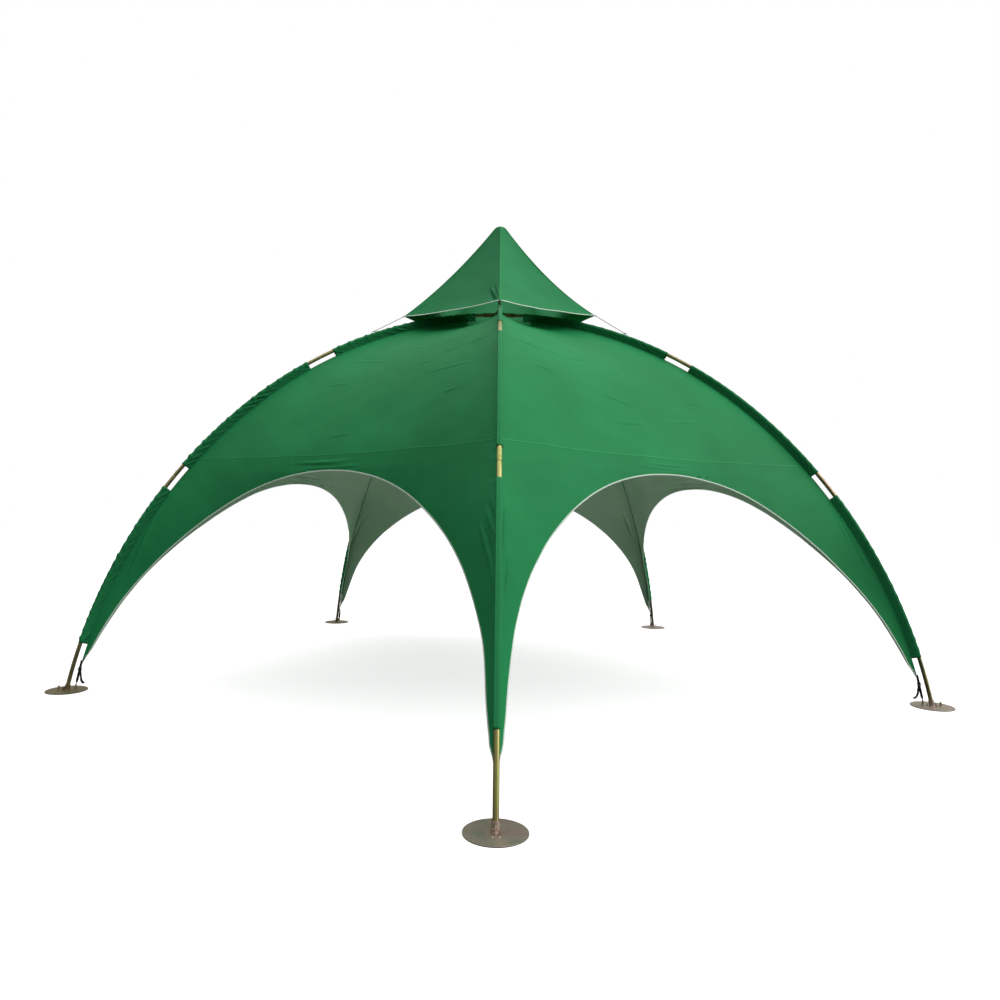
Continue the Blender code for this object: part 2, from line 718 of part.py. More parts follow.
def loop_mesh(centre_point):
    """Loop of webbing round the bar of the inner eye."""
    inner = EYE_BAR_RADIUS + STRAP_EYE_GAP
    outer = inner + STRAP_THICKNESS / 2
    skins = []
    for radius in (outer, inner):
        rings = []
        for side in (-STRAP_WIDTH / 2, STRAP_WIDTH / 2):
            turns = [tau * index / 12 for index in range(12)]
            rings.append([centre_point + Vector((radius * cos(turn), side, radius * sin(turn)))
                          for turn in turns])
        skins.append(rings)
    return swept_mesh("strap_loop", *skins)


def build_straps(material, centre):
    """Webbing strap with a buckle and a loose tail, from each canopy tip to its foot."""
    tip = true_arch(LEG_TIP_ANGLE, -FIN_DEPTH) + Vector((0.0, 0.0, -0.004))
    eye = Vector((LEG_CIRCLE_RADIUS + INNER_EYE_REACH, 0.0, EYE_HEIGHT - EYE_BAR_RADIUS))
    along = (eye - tip).normalized()
    loop_reach = EYE_BAR_RADIUS + STRAP_EYE_GAP + STRAP_THICKNESS / 4
    band = band_mesh("strap_band", [tip, eye - loop_reach * along], STRAP_THICKNESS)
    buckle_part = (tip.z - BUCKLE_HEIGHT) / (tip.z - eye.z)
    buckle_centre = tip.lerp(eye, buckle_part)
    lean = atan2(along.x, -along.z)
    buckle = box_mesh("strap_buckle", BUCKLE_SIZE, buckle_centre, -lean)
    tail = band_mesh("strap_tail", [buckle_centre, *(buckle_centre + Vector((out, 0.0, fall))
                                                     for out, fall in TAIL_POINTS)],
                     STRAP_THICKNESS / 2)
    mesh = boolean_mesh("corner_strap", band, joined=[loop_mesh(eye), buckle, tail])
    for index, leg in enumerate(LEG_NAMES):
        link_object(f"corner_strap_{leg}", mesh, material, centre, leg_heading(index))


def main():
    """Build the tent under an empty on the mast's axis at ground level."""
    clear_scene()
    steel = make_material("zinc_steel", (0.22, 0.18, 0.09), 0.35, 1.0)
    plate_steel = make_material("zinc_plate", (0.35, 0.29, 0.20), 0.45, 1.0)
    hub_steel = make_material("hub_steel", (0.22, 0.18, 0.09), 0.4, 1.0)
    cloth = make_material("green_polyester", (0.025, 0.16, 0.058), 0.8)
    fin_cloth = make_material("green_sleeve", (0.018, 0.13, 0.045), 0.8)
    cap_cloth = make_material("green_cap", (0.03, 0.18, 0.07), 0.8)
    cord = make_material("dark_cord", (0.02, 0.015, 0.015), 0.8)
    webbing = make_material("black_webbing", (0.008, 0.008, 0.008), 0.8)
    centre = bpy.data.objects.new("tent_centre", None)
    centre.location = (0.0, HUB_SETBACK, 0.0)
    bpy.context.collection.objects.link(centre)
    build_feet(plate_steel, centre)
    build_poles(steel, centre)
    build_hub(hub_steel, centre)
    build_mast(hub_steel, centre)
    build_peak_disc(hub_steel, centre)
    build_sleeves(fin_cloth, centre)
    build_panels(cloth, centre)
    build_cap(cap_cloth, centre)
    build_ties(cord, centre)
    build_straps(webbing, centre)
    bpy.context.view_layer.update()


main()
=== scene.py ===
"""Looks of an event dome tent: coated polyester, passivated steel and webbing in a pale studio.

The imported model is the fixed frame. Its soft and round pieces are replaced here by finer ones
that follow the same arches, doorways and cap. Metres, +Z up, the front leg along -Y.
"""

from __future__ import annotations

import json
import logging
from dataclasses import dataclass, field
from enum import Enum
from functools import cached_property
from math import acos, asin, atan2, cos, exp, log, pi, radians, sin, sqrt, tau
from typing import Sequence

import bpy
import numpy as np
from mathutils import Matrix, Vector

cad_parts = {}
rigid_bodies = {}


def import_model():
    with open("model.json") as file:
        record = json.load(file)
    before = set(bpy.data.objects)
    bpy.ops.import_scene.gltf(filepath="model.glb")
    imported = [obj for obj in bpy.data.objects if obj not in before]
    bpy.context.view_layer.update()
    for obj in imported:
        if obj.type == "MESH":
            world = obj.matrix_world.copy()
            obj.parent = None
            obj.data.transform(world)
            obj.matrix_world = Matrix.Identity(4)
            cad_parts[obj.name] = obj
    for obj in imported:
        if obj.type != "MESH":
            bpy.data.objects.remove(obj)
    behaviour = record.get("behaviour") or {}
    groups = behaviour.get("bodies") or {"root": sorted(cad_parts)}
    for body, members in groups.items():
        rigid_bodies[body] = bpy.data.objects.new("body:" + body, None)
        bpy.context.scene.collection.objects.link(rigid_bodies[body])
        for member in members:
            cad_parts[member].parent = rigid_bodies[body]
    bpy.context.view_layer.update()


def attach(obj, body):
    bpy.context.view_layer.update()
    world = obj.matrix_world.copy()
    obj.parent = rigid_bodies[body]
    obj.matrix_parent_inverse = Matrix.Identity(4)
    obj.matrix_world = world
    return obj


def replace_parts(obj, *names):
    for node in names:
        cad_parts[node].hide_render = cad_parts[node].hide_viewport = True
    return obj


Array = np.ndarray
Thing = bpy.types.Object

LOG = logging.getLogger("tent")
BODY = "root"
LEG_NAMES = ("front", "right", "back_right", "back_left", "left")
PANEL_NAMES = ("front_right", "right", "back", "left", "front_left")
LEG_STEP = tau / len(LEG_NAMES)
HALF_STEP = LEG_STEP / 2
FRONT_HEADING = radians(-90)
LEG_CIRCLE = 4.0
HUB_SETBACK = LEG_CIRCLE * (1 - cos(HALF_STEP)) / 2
FORWARD = np.array((1.0, 0.0, 0.0))
SIDE = np.array((0.0, 1.0, 0.0))
UP = np.array((0.0, 0.0, 1.0))
# Edges that turn by more than this stay sharp: on metal, folded cloth and seams
METAL_EDGE, FOLD_EDGE, SEAM_EDGE = radians(35), radians(50), radians(30)
# How far a surface is sampled to either side of a point for its slope
SLOPE_STEP = 1e-4


def linear(code: str) -> tuple[float, ...]:
    """Turn an sRGB hex colour into the linear values that a shader takes, with an alpha of one."""
    shares = [int(code[start:start + 2], 16) / 255 for start in (1, 3, 5)]
    return (*(s / 12.92 if s <= 0.04045 else ((s + 0.055) / 1.055) ** 2.4 for s in shares), 1.0)


def leg_heading(index: int) -> float:
    """Heading of a leg, counted from the front leg towards the right."""
    return FRONT_HEADING + index * LEG_STEP


def turned(points: Array, heading: float) -> Array:
    """Turn points about the mast's axis and set them behind the middle of the box.

    Args:
        points: Points of a piece whose leg or mid line points along +X.
        heading: Heading that it turns to.

    Returns:
        The points in the row frame.
    """
    x, y, z = points[..., 0], points[..., 1], points[..., 2]
    turn_cos, turn_sin = cos(heading), sin(heading)
    return np.stack([turn_cos * x - turn_sin * y, turn_sin * x + turn_cos * y + HUB_SETBACK, z],
                    -1)


def unit(vectors: Array) -> Array:
    """Scale vectors to length one."""
    return vectors / np.maximum(np.linalg.norm(vectors, axis=-1, keepdims=True), 1e-12)


def square_to(vectors: Array, axes: Array) -> Array:
    """Directions of vectors once their parts along the axes are taken out."""
    return unit(vectors - (vectors * axes).sum(-1, keepdims=True) * axes)


def ring_tangents(points: Array) -> Array:
    """Directions along a closed path."""
    return unit(np.roll(points, -1, 0) - np.roll(points, 1, 0))


def run_along(points: Array) -> Array:
    """Length along a path to each of its points."""
    steps = np.linalg.norm(np.diff(points, axis=0), axis=-1)
    return np.concatenate([[0.0], np.cumsum(steps)])


def linked(name: str, data: bpy.types.ID) -> Thing:
    """Put an object with this data into the scene."""
    thing = bpy.data.objects.new(name, data)
    bpy.context.scene.collection.objects.link(thing)
    return thing


# Meshes

@dataclass
class Shell:
    """Points, quads and end faces of one mesh while it is being made.

    What is added turns to the heading of that moment, or stays put where there is none.
    """

    heading: float | None = 0.0
    points: list[Array] = field(default_factory=list)
    quads: list[Array] = field(default_factory=list)
    measures: list[Array] = field(default_factory=list)
    slots: list[Array] = field(default_factory=list)
    ends: list[list[int]] = field(default_factory=list)
    count: int = 0

    def grid(self, points: Array, measure: Array | None = None, around: bool = False,
             along: bool = False, slot: int = 0, flip: bool = False,
             keep: Array | None = None) -> Array:
        """Add a grid of quads.

        Args:
            points: Rows of points.
            measure: Place of each point on the flat cloth in metres, one row or column more
                where the grid closes on itself.
            around: Whether each row closes on itself.
            along: Whether the last row joins the first.
            slot: Material slot.
            flip: Whether the faces turn the other way.
            keep: Which quads are made.

        Returns:
            The index of each point.
        """
        rows, columns = points.shape[:2]
        placed = points if self.heading is None else turned(points, self.heading)
        index = self.count + np.arange(rows * columns).reshape(rows, columns)
        self.points.append(placed.reshape(-1, 3))
        self.count += rows * columns
        i, j = np.meshgrid(np.arange(rows if along else rows - 1),
                           np.arange(columns if around else columns - 1), indexing="ij")
        corners = ((i, j), (i, j + 1), (i + 1, j + 1), (i + 1, j))
        quads = np.stack([index[a % rows, b % columns] for a, b in corners], -1)
        if measure is None:
            flat = np.zeros((*quads.shape, 2))
        else:
            flat = np.stack([measure[a, b] for a, b in corners], -2)
        if keep is not None:
            quads, flat = quads[keep], flat[keep]
        quads, flat = quads.reshape(-1, 4), flat.reshape(-1, 4, 2)
        if flip:
            quads, flat = quads[:, ::-1], flat[:, ::-1]
        self.quads.append(quads)
        self.measures.append(flat)
        self.slots.append(np.full(len(quads), slot))
        return index

    def solid(self, rings: Array, slot: int = 0, measure: Array | None = None,
              flip: bool = False) -> None:
        """Add a closed body with a face at each end.

        Args:
            rings: Rings of points.
            slot: Material slot.
            measure: Place of each point on the flat cloth.
            flip: Whether the faces turn the other way.
        """
        index = self.grid(rings, measure, around=True, slot=slot, flip=flip)
        first, last = index[0].tolist(), index[-1].tolist()
        self.ends += [first, last[::-1]] if flip else [first[::-1], last]

    def pipe(self, outer: Array, inner: Array) -> None:
        """Add a hollow body from its outer and its inner rings."""
        self.grid(np.concatenate([outer, inner[::-1]]), around=True, along=True)

    def turning(self, base: Sequence[float], levels: Sequence[tuple[float, float]], sides: int,
                slot: int = 0, axis: Array = UP, first: Array = FORWARD) -> None:
        """Add a turned body.

        Args:
            base: Point of its axis that the levels are measured from.
            levels: Radius of each ring and its distance along the axis.
            sides: Points in a ring.
            slot: Material slot.
            axis: Direction of its axis.
            first: Direction square to the axis that the rings start from.
        """
        centres = np.array([base + distance * axis for _, distance in levels])
        profiles = np.stack([circle(radius, sides) for radius, _ in levels])
        self.solid(rings_along(centres, first, np.cross(axis, first), profiles), slot)

    def to_object(self, name: str, slot: str, finishes: Sequence[Finish], node: str = "",
                  sharp: float | None = None) -> Thing:
        """Make the mesh an object that rides on the tent.

        Args:
            name: Name of the piece.
            slot: Finish slot of the record; not used.
            finishes: One finish for each material slot.
            node: Node of the model that the piece stands in for.
            sharp: Angle above which an edge stays sharp.

        Returns:
            The object.
        """
        mesh = bpy.data.meshes.new(name)
        quads = np.concatenate(self.quads)
        faces = quads.tolist() + self.ends
        mesh.from_pydata(np.concatenate(self.points).tolist(), [], faces)
        flat = np.zeros((len(mesh.loops), 2))
        flat[:len(quads) * 4] = np.concatenate(self.measures).reshape(-1, 2)
        mesh.uv_layers.new(name="flat_cloth").data.foreach_set("uv", flat.ravel())
        slots = np.zeros(len(faces), int)
        slots[:len(quads)] = np.concatenate(self.slots)
        mesh.polygons.foreach_set("material_index", slots)
        for finish in finishes:
            mesh.materials.append(finish.material)
        mesh.shade_smooth()
        if sharp is not None:
            mesh.set_sharp_from_angle(angle=sharp)
        mesh.update()
        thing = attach(linked(name, mesh), BODY)
        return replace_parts(thing, node) if node else thing


def rings_along(centres: Array, firsts: Array, seconds: Array, profile: Array) -> Array:
    """Set a profile, or one for each point, square to a path by its two directions."""
    firsts, seconds = (np.broadcast_to(way, centres.shape)[:, None] for way in (firsts, seconds))
    return centres[:, None] + profile[..., :1] * firsts + profile[..., 1:] * seconds


def circle(radius: float, sides: int) -> Array:
    """Round profile."""
    turns = tau * (np.arange(sides) + 0.5) / sides
    return radius * np.stack([np.cos(turns), np.sin(turns)], -1)


def rounded_box(width: float, height: float, corner: float, steps: int = 3) -> Array:
    """Rectangular profile with round corners."""
    points = []
    for quarter, (sign_x, sign_y) in enumerate(((1, 1), (-1, 1), (-1, -1), (1, -1))):
        for step in range(steps + 1):
            angle = quarter * pi / 2 + step / steps * pi / 2
            points.append((sign_x * (width / 2 - corner) + corner * cos(angle),
                           sign_y * (height / 2 - corner) + corner * sin(angle)))
    return np.array(points)


def path_frame(points: Array, across: Array) -> tuple[Array, Array]:
    """Directions square to a path.

    Args:
        points: Points of the path.
        across: Direction, or one for each point, that the first result stays close to.

    Returns:
        Sideways and outward directions at each point.
    """
    tangents = unit(np.gradient(points, axis=0))
    sideways = square_to(np.broadcast_to(across, points.shape), tangents)
    return sideways, np.cross(tangents, sideways)


def smooth_path(corners: Sequence[Sequence[float]], steps: int) -> Array:
    """Curve through given corners.

    Args:
        corners: Points that the curve goes through.
        steps: Pieces between two corners.

    Returns:
        Points of the curve.
    """
    knots = np.asarray(corners, float)
    padded = np.concatenate([2 * knots[:1] - knots[1:2], knots, 2 * knots[-1:] - knots[-2:-1]])
    share = np.linspace(0, 1, steps, endpoint=False)[:, None]
    pieces = []
    for a, b, c, d in zip(padded, padded[1:], padded[2:], padded[3:]):
        pieces.append(0.5 * (2 * b + (c - a) * share + (2 * a - 5 * b + 4 * c - d) * share ** 2
                             + (3 * b - a - 3 * c + d) * share ** 3))
    return np.concatenate([*pieces, knots[-1:]])


# Finishes

class Recipe:
    """Node tree of a material or of the surround while it is being filled."""

    def __init__(self, owner: bpy.types.Material | bpy.types.World) -> None:
        """Start with an empty tree."""
        owner.use_nodes = True
        self.owner, self.tree = owner, owner.node_tree
        self.tree.nodes.clear()

    def add(self, kind: str, inputs: dict[str | int, object] | None = None,
            **settings: object) -> bpy.types.Node:
        """Add a node with its settings and links.

        Args:
            kind: Blender's name for the node.
            inputs: Value of each input, or the socket or node that it takes its value from.
            **settings: Attributes of the node; "stops" fills a colour ramp.

        Returns:
            The node.
        """
        node = self.tree.nodes.new(kind)
        for key, value in settings.items():
            if key != "stops":
                setattr(node, key, value)
                continue
            ramp = node.color_ramp.elements
            while len(ramp) < len(value):
                ramp.new(0.5)
            for element, (place, colour) in zip(list(ramp), value):
                element.position, element.color = place, colour
        for key, value in (inputs or {}).items():
            source = value.outputs[0] if isinstance(value, bpy.types.Node) else value
            if isinstance(source, bpy.types.NodeSocket):
                self.tree.links.new(source, node.inputs[key])
            else:
                node.inputs[key].default_value = source
        return node

    def finish(self, shader: bpy.types.Node) -> bpy.types.Material:
        """Send the shader to the surface and hand over the material."""
        self.add("ShaderNodeOutputMaterial", {"Surface": shader})
        return self.owner


@dataclass(frozen=True)
class CoatedPolyester:
    """Plain-woven polyester with a thin coating: an even satin face with soft blotches.

    Tension gives it light and dark patches, the weave a grain that shows only close by.
    """

    name: str
    face: str
    shade: str
    roughness: float = 0.64
    gloss: float = 0.10
    # Threads stand 0.5 mm apart; the weave is drawn 5 mm apart, or it would not show at all
    thread: float = 0.005
    # The tension's patches are 900 mm wide, crumples 111 mm and specks of dust 38 mm; on the seams
    # more of the pale specks make a painted highlight
    patch: float = 0.9
    crumple: float = 0.1111
    speck: float = 0.03846
    dust_and_highlight: float = 0.008

    def make(self) -> bpy.types.Material:
        """Make the material."""
        recipe = Recipe(bpy.data.materials.new(self.name))
        place = recipe.add("ShaderNodeTexCoord").outputs["Object"]
        flat = recipe.add("ShaderNodeUVMap", uv_map="flat_cloth")
        patches = recipe.add("ShaderNodeTexNoise", {
            "Vector": place, "Scale": 1 / self.patch, "Detail": 4.0, "Roughness": 0.55})
        tone = recipe.add("ShaderNodeValToRGB", {"Fac": patches}, stops=(
            (0.32, linear(self.shade)), (0.68, linear(self.face))))
        fine = recipe.add("ShaderNodeTexNoise", {
            "Vector": place, "Scale": 1 / self.speck, "Detail": 5.0, "Roughness": 0.6})
        # Pale specks mixed into the colour: dust, and on the seams part of a painted highlight
        dust_and_highlight_share = recipe.add("ShaderNodeMath", {0: fine, 1: self.dust_and_highlight}, operation="MULTIPLY")
        colour = recipe.add("ShaderNodeMix", {
            0: dust_and_highlight_share, 6: tone, 7: linear("#8f988a")}, data_type="RGBA")
        waves = [recipe.add("ShaderNodeTexWave", {
            "Vector": flat, "Scale": 1 / (self.thread * 2), "Distortion": 0.6,
            "Detail": 1.0}, bands_direction=direction).outputs[1] for direction in ("X", "Y")]
        weave = recipe.add("ShaderNodeMath", {0: waves[0], 1: waves[1]}, operation="ADD")
        crumple = recipe.add("ShaderNodeTexNoise", {
            "Vector": place, "Scale": 1 / self.crumple, "Detail": 6.0, "Roughness": 0.62})
        grain = recipe.add("ShaderNodeBump", {
            "Strength": 0.05, "Distance": 0.0004, "Height": weave})
        soft = recipe.add("ShaderNodeBump", {
            "Strength": 0.35, "Distance": 0.004, "Height": crumple, "Normal": grain})
        sheen = recipe.add("ShaderNodeMapRange", {
            "Value": fine, "To Min": self.roughness - 0.05, "To Max": self.roughness + 0.07})
        return recipe.finish(recipe.add("ShaderNodeBsdfPrincipled", {
            "Base Color": colour.outputs[2], "Roughness": sheen,
            "Specular IOR Level": self.gloss, "IOR": 1.5, "Normal": soft}))


@dataclass(frozen=True)
class PassivatedSteel:
    """Steel with a yellow chromate coat on zinc: a film of gold that drifts to olive and rose."""

    name: str
    gold: str
    olive: str
    rose: str
    roughness: float
    # Width over which the film changes its colour
    drift: float
    grime: float = 0.25
    # Zinc spangle and rubbed spots are 3 to 8 mm across
    spangle: float = 0.005882

    def make(self) -> bpy.types.Material:
        """Make the material."""
        recipe = Recipe(bpy.data.materials.new(self.name))
        place = recipe.add("ShaderNodeTexCoord").outputs["Object"]
        drift = recipe.add("ShaderNodeTexNoise", {
            "Vector": place, "Scale": 1 / self.drift, "Detail": 3.0, "Roughness": 0.5})
        film = recipe.add("ShaderNodeValToRGB", {"Fac": drift}, stops=(
            (0.36, linear(self.olive)), (0.5, linear(self.gold)), (0.64, linear(self.rose))))
        spots = recipe.add("ShaderNodeTexNoise", {
            "Vector": place, "Scale": 1 / self.spangle, "Detail": 4.0, "Roughness": 0.6})
        worn = recipe.add("ShaderNodeMapRange", {
            "Value": spots, "From Min": 0.45, "From Max": 0.75, "To Min": 0.0,
            "To Max": self.grime})
        colour = recipe.add("ShaderNodeMix", {
            0: worn, 6: film, 7: linear("#3a3020")}, data_type="RGBA")
        rough = recipe.add("ShaderNodeMapRange", {
            "Value": spots, "To Min": self.roughness - 0.08, "To Max": self.roughness + 0.12})
        bump = recipe.add("ShaderNodeBump", {
            "Strength": 0.15, "Distance": 0.0004, "Height": spots})
        return recipe.finish(recipe.add("ShaderNodeBsdfPrincipled", {
            "Base Color": colour.outputs[2], "Metallic": 0.85, "Roughness": rough,
            "Normal": bump}))


@dataclass(frozen=True)
class WovenTape:
    """Narrow woven tape or webbing: ribs across it and a slightly furry, dull face."""

    name: str
    face: str
    shade: str
    # Ribs stand 1.2 mm apart; drawn 4 mm apart, so that they show
    rib: float = 0.004
    # Soiled places are 71 mm wide
    soiling: float = 0.0714
    roughness: float = 0.8

    def make(self) -> bpy.types.Material:
        """Make the material."""
        recipe = Recipe(bpy.data.materials.new(self.name))
        flat = recipe.add("ShaderNodeUVMap", uv_map="flat_cloth")
        place = recipe.add("ShaderNodeTexCoord").outputs["Object"]
        ribs = recipe.add("ShaderNodeTexWave", {
            "Vector": flat, "Scale": 1 / (self.rib * 2), "Distortion": 0.4,
            "Detail": 1.0}, bands_direction="Y")
        soil = recipe.add("ShaderNodeTexNoise", {
            "Vector": place, "Scale": 1 / self.soiling, "Detail": 4.0})
        blend = recipe.add("ShaderNodeMath", {0: ribs.outputs[1], 1: soil}, operation="MULTIPLY")
        colour = recipe.add("ShaderNodeMix", {
            0: blend, 6: linear(self.shade), 7: linear(self.face)}, data_type="RGBA")
        bump = recipe.add("ShaderNodeBump", {
            "Strength": 0.5, "Distance": 0.0006, "Height": ribs.outputs[1]})
        return recipe.finish(recipe.add("ShaderNodeBsdfPrincipled", {
            "Base Color": colour.outputs[2], "Roughness": self.roughness,
            "Specular IOR Level": 0.25, "Normal": bump}))


@dataclass(frozen=True)
class MouldedAcetal:
    """Injection-moulded acetal: near black, with a soft shine and a fine spark-eroded grain."""

    name: str
    face: str
    # The eroded grain is 0.1 mm; drawn at 1.1 mm
    grain: float = 0.001111
    roughness: float = 0.42

    def make(self) -> bpy.types.Material:
        """Make the material."""
        recipe = Recipe(bpy.data.materials.new(self.name))
        place = recipe.add("ShaderNodeTexCoord").outputs["Object"]
        grain = recipe.add("ShaderNodeTexNoise", {
            "Vector": place, "Scale": 1 / self.grain, "Detail": 2.0})
        colour = recipe.add("ShaderNodeMix", {
            0: grain, 6: linear(self.face), 7: linear("#202223")}, data_type="RGBA")
        bump = recipe.add("ShaderNodeBump", {
            "Strength": 0.15, "Distance": 0.0003, "Height": grain})
        return recipe.finish(recipe.add("ShaderNodeBsdfPrincipled", {
            "Base Color": colour.outputs[2], "Roughness": self.roughness, "IOR": 1.48,
            "Normal": bump}))


@dataclass(frozen=True)
class StudioPaint:
    """Matt white floor that is also a little lit from within, so shadows on it stay pale."""

    name: str
    face: str
    glow: float

    def make(self) -> bpy.types.Material:
        """Make the material."""
        recipe = Recipe(bpy.data.materials.new(self.name))
        return recipe.finish(recipe.add("ShaderNodeBsdfPrincipled", {
            "Base Color": linear(self.face), "Roughness": 0.95, "Specular IOR Level": 0.0,
            "Emission Color": (1.0, 1.0, 1.0, 1.0), "Emission Strength": self.glow}))


class Finish(Enum):
    """Every finish of the tent."""

    CANOPY = CoatedPolyester("coated_polyester_canopy", "#1a7e48", "#16713e")
    COATING = CoatedPolyester("polyurethane_coated_inside", "#8aa78b", "#799a7d", 0.75, 0.2)
    SLEEVE = CoatedPolyester("coated_polyester_sleeve", "#1e7a48", "#186b3d")
    CAP = CoatedPolyester("coated_polyester_cap", "#1f7b49", "#1b7342")
    # Paler than the face, for the light that comes through the single thin cloth
    CAP_INSIDE = CoatedPolyester("coated_polyester_cap_inside", "#46a06c", "#3f9562", 0.75, 0.2)
    # Paler than the canopy and with more pale specks mixed in: a painted highlight for the raised
    # seam that catches the light
    SEAM = CoatedPolyester("seam_polyester_painted_highlight", "#289150", "#22844a", dust_and_highlight=0.03)
    BINDING = WovenTape("polyester_binding_tape", "#d0dcd0", "#b2c4b6")
    TUBE = PassivatedSteel("yellow_passivated_tube", "#9c9264", "#767c58", "#967c66", 0.34, 0.35)
    # The front arch's tubes are drawn more yellow-green than the others
    TUBE_LIME = PassivatedSteel("lime_passivated_tube", "#a9a963", "#7f8c56", "#a5926c",
                                0.34, 0.35)
    PLATE = PassivatedSteel("yellow_passivated_plate", "#a39888", "#8a8d7b", "#9d8881",
                            0.5, 0.16, 0.35)
    # Darker and greener than the other plates: painted shade for the darker surround that the left
    # plates reflect
    PLATE_PAINTED_SHADE = PassivatedSteel("passivated_plate_painted_shade", "#746c4c", "#666548", "#7c6a50",
                                  0.5, 0.16, 0.4)
    # The cut edge is painted dark brown: painted shade for its side face in shadow and its contact
    # with the ground
    PLATE_EDGE = PassivatedSteel("plate_edge_painted_shade", "#3d352a", "#35322a", "#463629",
                                 0.7, 0.05, 0.5)
    HUB = PassivatedSteel("yellow_passivated_hub", "#8f7a40", "#66643a", "#7d6048", 0.4, 0.1)
    WEBBING = WovenTape("polypropylene_webbing", "#1d1e1d", "#090909")
    BUCKLE = MouldedAcetal("moulded_acetal", "#101112")
    CORD = WovenTape("twisted_polyester_cord", "#3a4a3c", "#1c261e", 0.006)

    @cached_property
    def material(self) -> bpy.types.Material:
        """Material of the finish, made when it is first used."""
        return self.value.make()


# Cloth relief

class Datum(Enum):
    """Line that a crease's first coordinate is measured from."""

    MIDLINE = "mid line of the panel"
    FIRST_FIN = "fin at the clockwise end"
    LAST_FIN = "fin at the anticlockwise end"


@dataclass(frozen=True)
class Crease:
    """Soft fold line of a cloth, in metres on the cloth: a crest with a dip beside it."""

    start: tuple[float, float]
    end: tuple[float, float]
    width: float
    height: float
    datum: Datum = Datum.MIDLINE
    bow: float = 0.0

    def lift(self, across: Array, along: Array) -> Array:
        """Height of the fold.

        Args:
            across: First coordinate of each point, from the crease's own datum.
            along: Second coordinate of each point.

        Returns:
            Height above the plain cloth.
        """
        run = np.subtract(self.end, self.start)
        length = float(np.hypot(*run))
        dx, dy = across - self.start[0], along - self.start[1]
        share = np.clip((dx * run[0] + dy * run[1]) / length ** 2, 0, 1)
        off = (dx * run[1] - dy * run[0]) / length - self.bow * 4 * share * (1 - share)
        place = off / self.width
        crest = np.exp(-place ** 2) - 0.55 * np.exp(-(place - 1.7) ** 2)
        return self.height * crest * np.sin(pi * share) ** 0.7


@dataclass(frozen=True)
class Ripple:
    """Uneven waves of a cloth, the same each time for one seed."""

    seed: int
    shortest: float
    longest: float
    height: float
    lean: float = 0.0
    spread: float = pi
    count: int = 9

    def lift(self, across: Array, along: Array) -> Array:
        """Height of the waves at each point.

        Args:
            across: First coordinate of each point in metres.
            along: Second coordinate of each point.

        Returns:
            Height above the plain cloth.
        """
        draw = np.random.default_rng(self.seed)
        total = np.zeros(np.shape(across))
        for _ in range(self.count):
            length = exp(draw.uniform(log(self.shortest), log(self.longest)))
            turn = self.lean + self.spread * (draw.random() - 0.5)
            phase = tau * draw.random()
            total = total + (length / self.longest) ** 0.6 * np.sin(
                tau * (across * cos(turn) + along * sin(turn)) / length + phase)
        return self.height * total / sqrt(self.count / 2)


def folded_tape(edge: Array, inward: Array, normal: Array, width: float,
                cloth: float, tape: float) -> tuple[Array, Array]:
    """Rings of a tape folded over a free edge of cloth.

    Args:
        edge: Points of the edge.
        inward: Direction into the cloth at each point.
        normal: Outward direction of the cloth at each point.
        width: Width that shows on each face.
        cloth: Thickness of the cloth.
        tape: Thickness of the tape.

    Returns:
        Rings of points, and each point's place on the flat tape.
    """
    half = cloth / 2 + tape
    profile = np.array(((width, half - tape * 0.5), (width * 0.5, half), (0.0, half),
                        (-tape * 1.2, half * 0.55), (-tape * 1.2, -half * 0.55), (0.0, -half),
                        (width * 0.5, -half), (width, -half + tape * 0.5), (width + 0.0004, 0.0)))
    return rings_along(edge, inward, normal, profile), tape_measure(profile, edge)


def tape_measure(profile: Array, path: Array) -> Array:
    """Place of each point of a tape's rings on the flat tape."""
    around = run_along(np.concatenate([profile, profile[:1]]))
    return np.stack(np.meshgrid(around, run_along(path)), -1)


# Arches

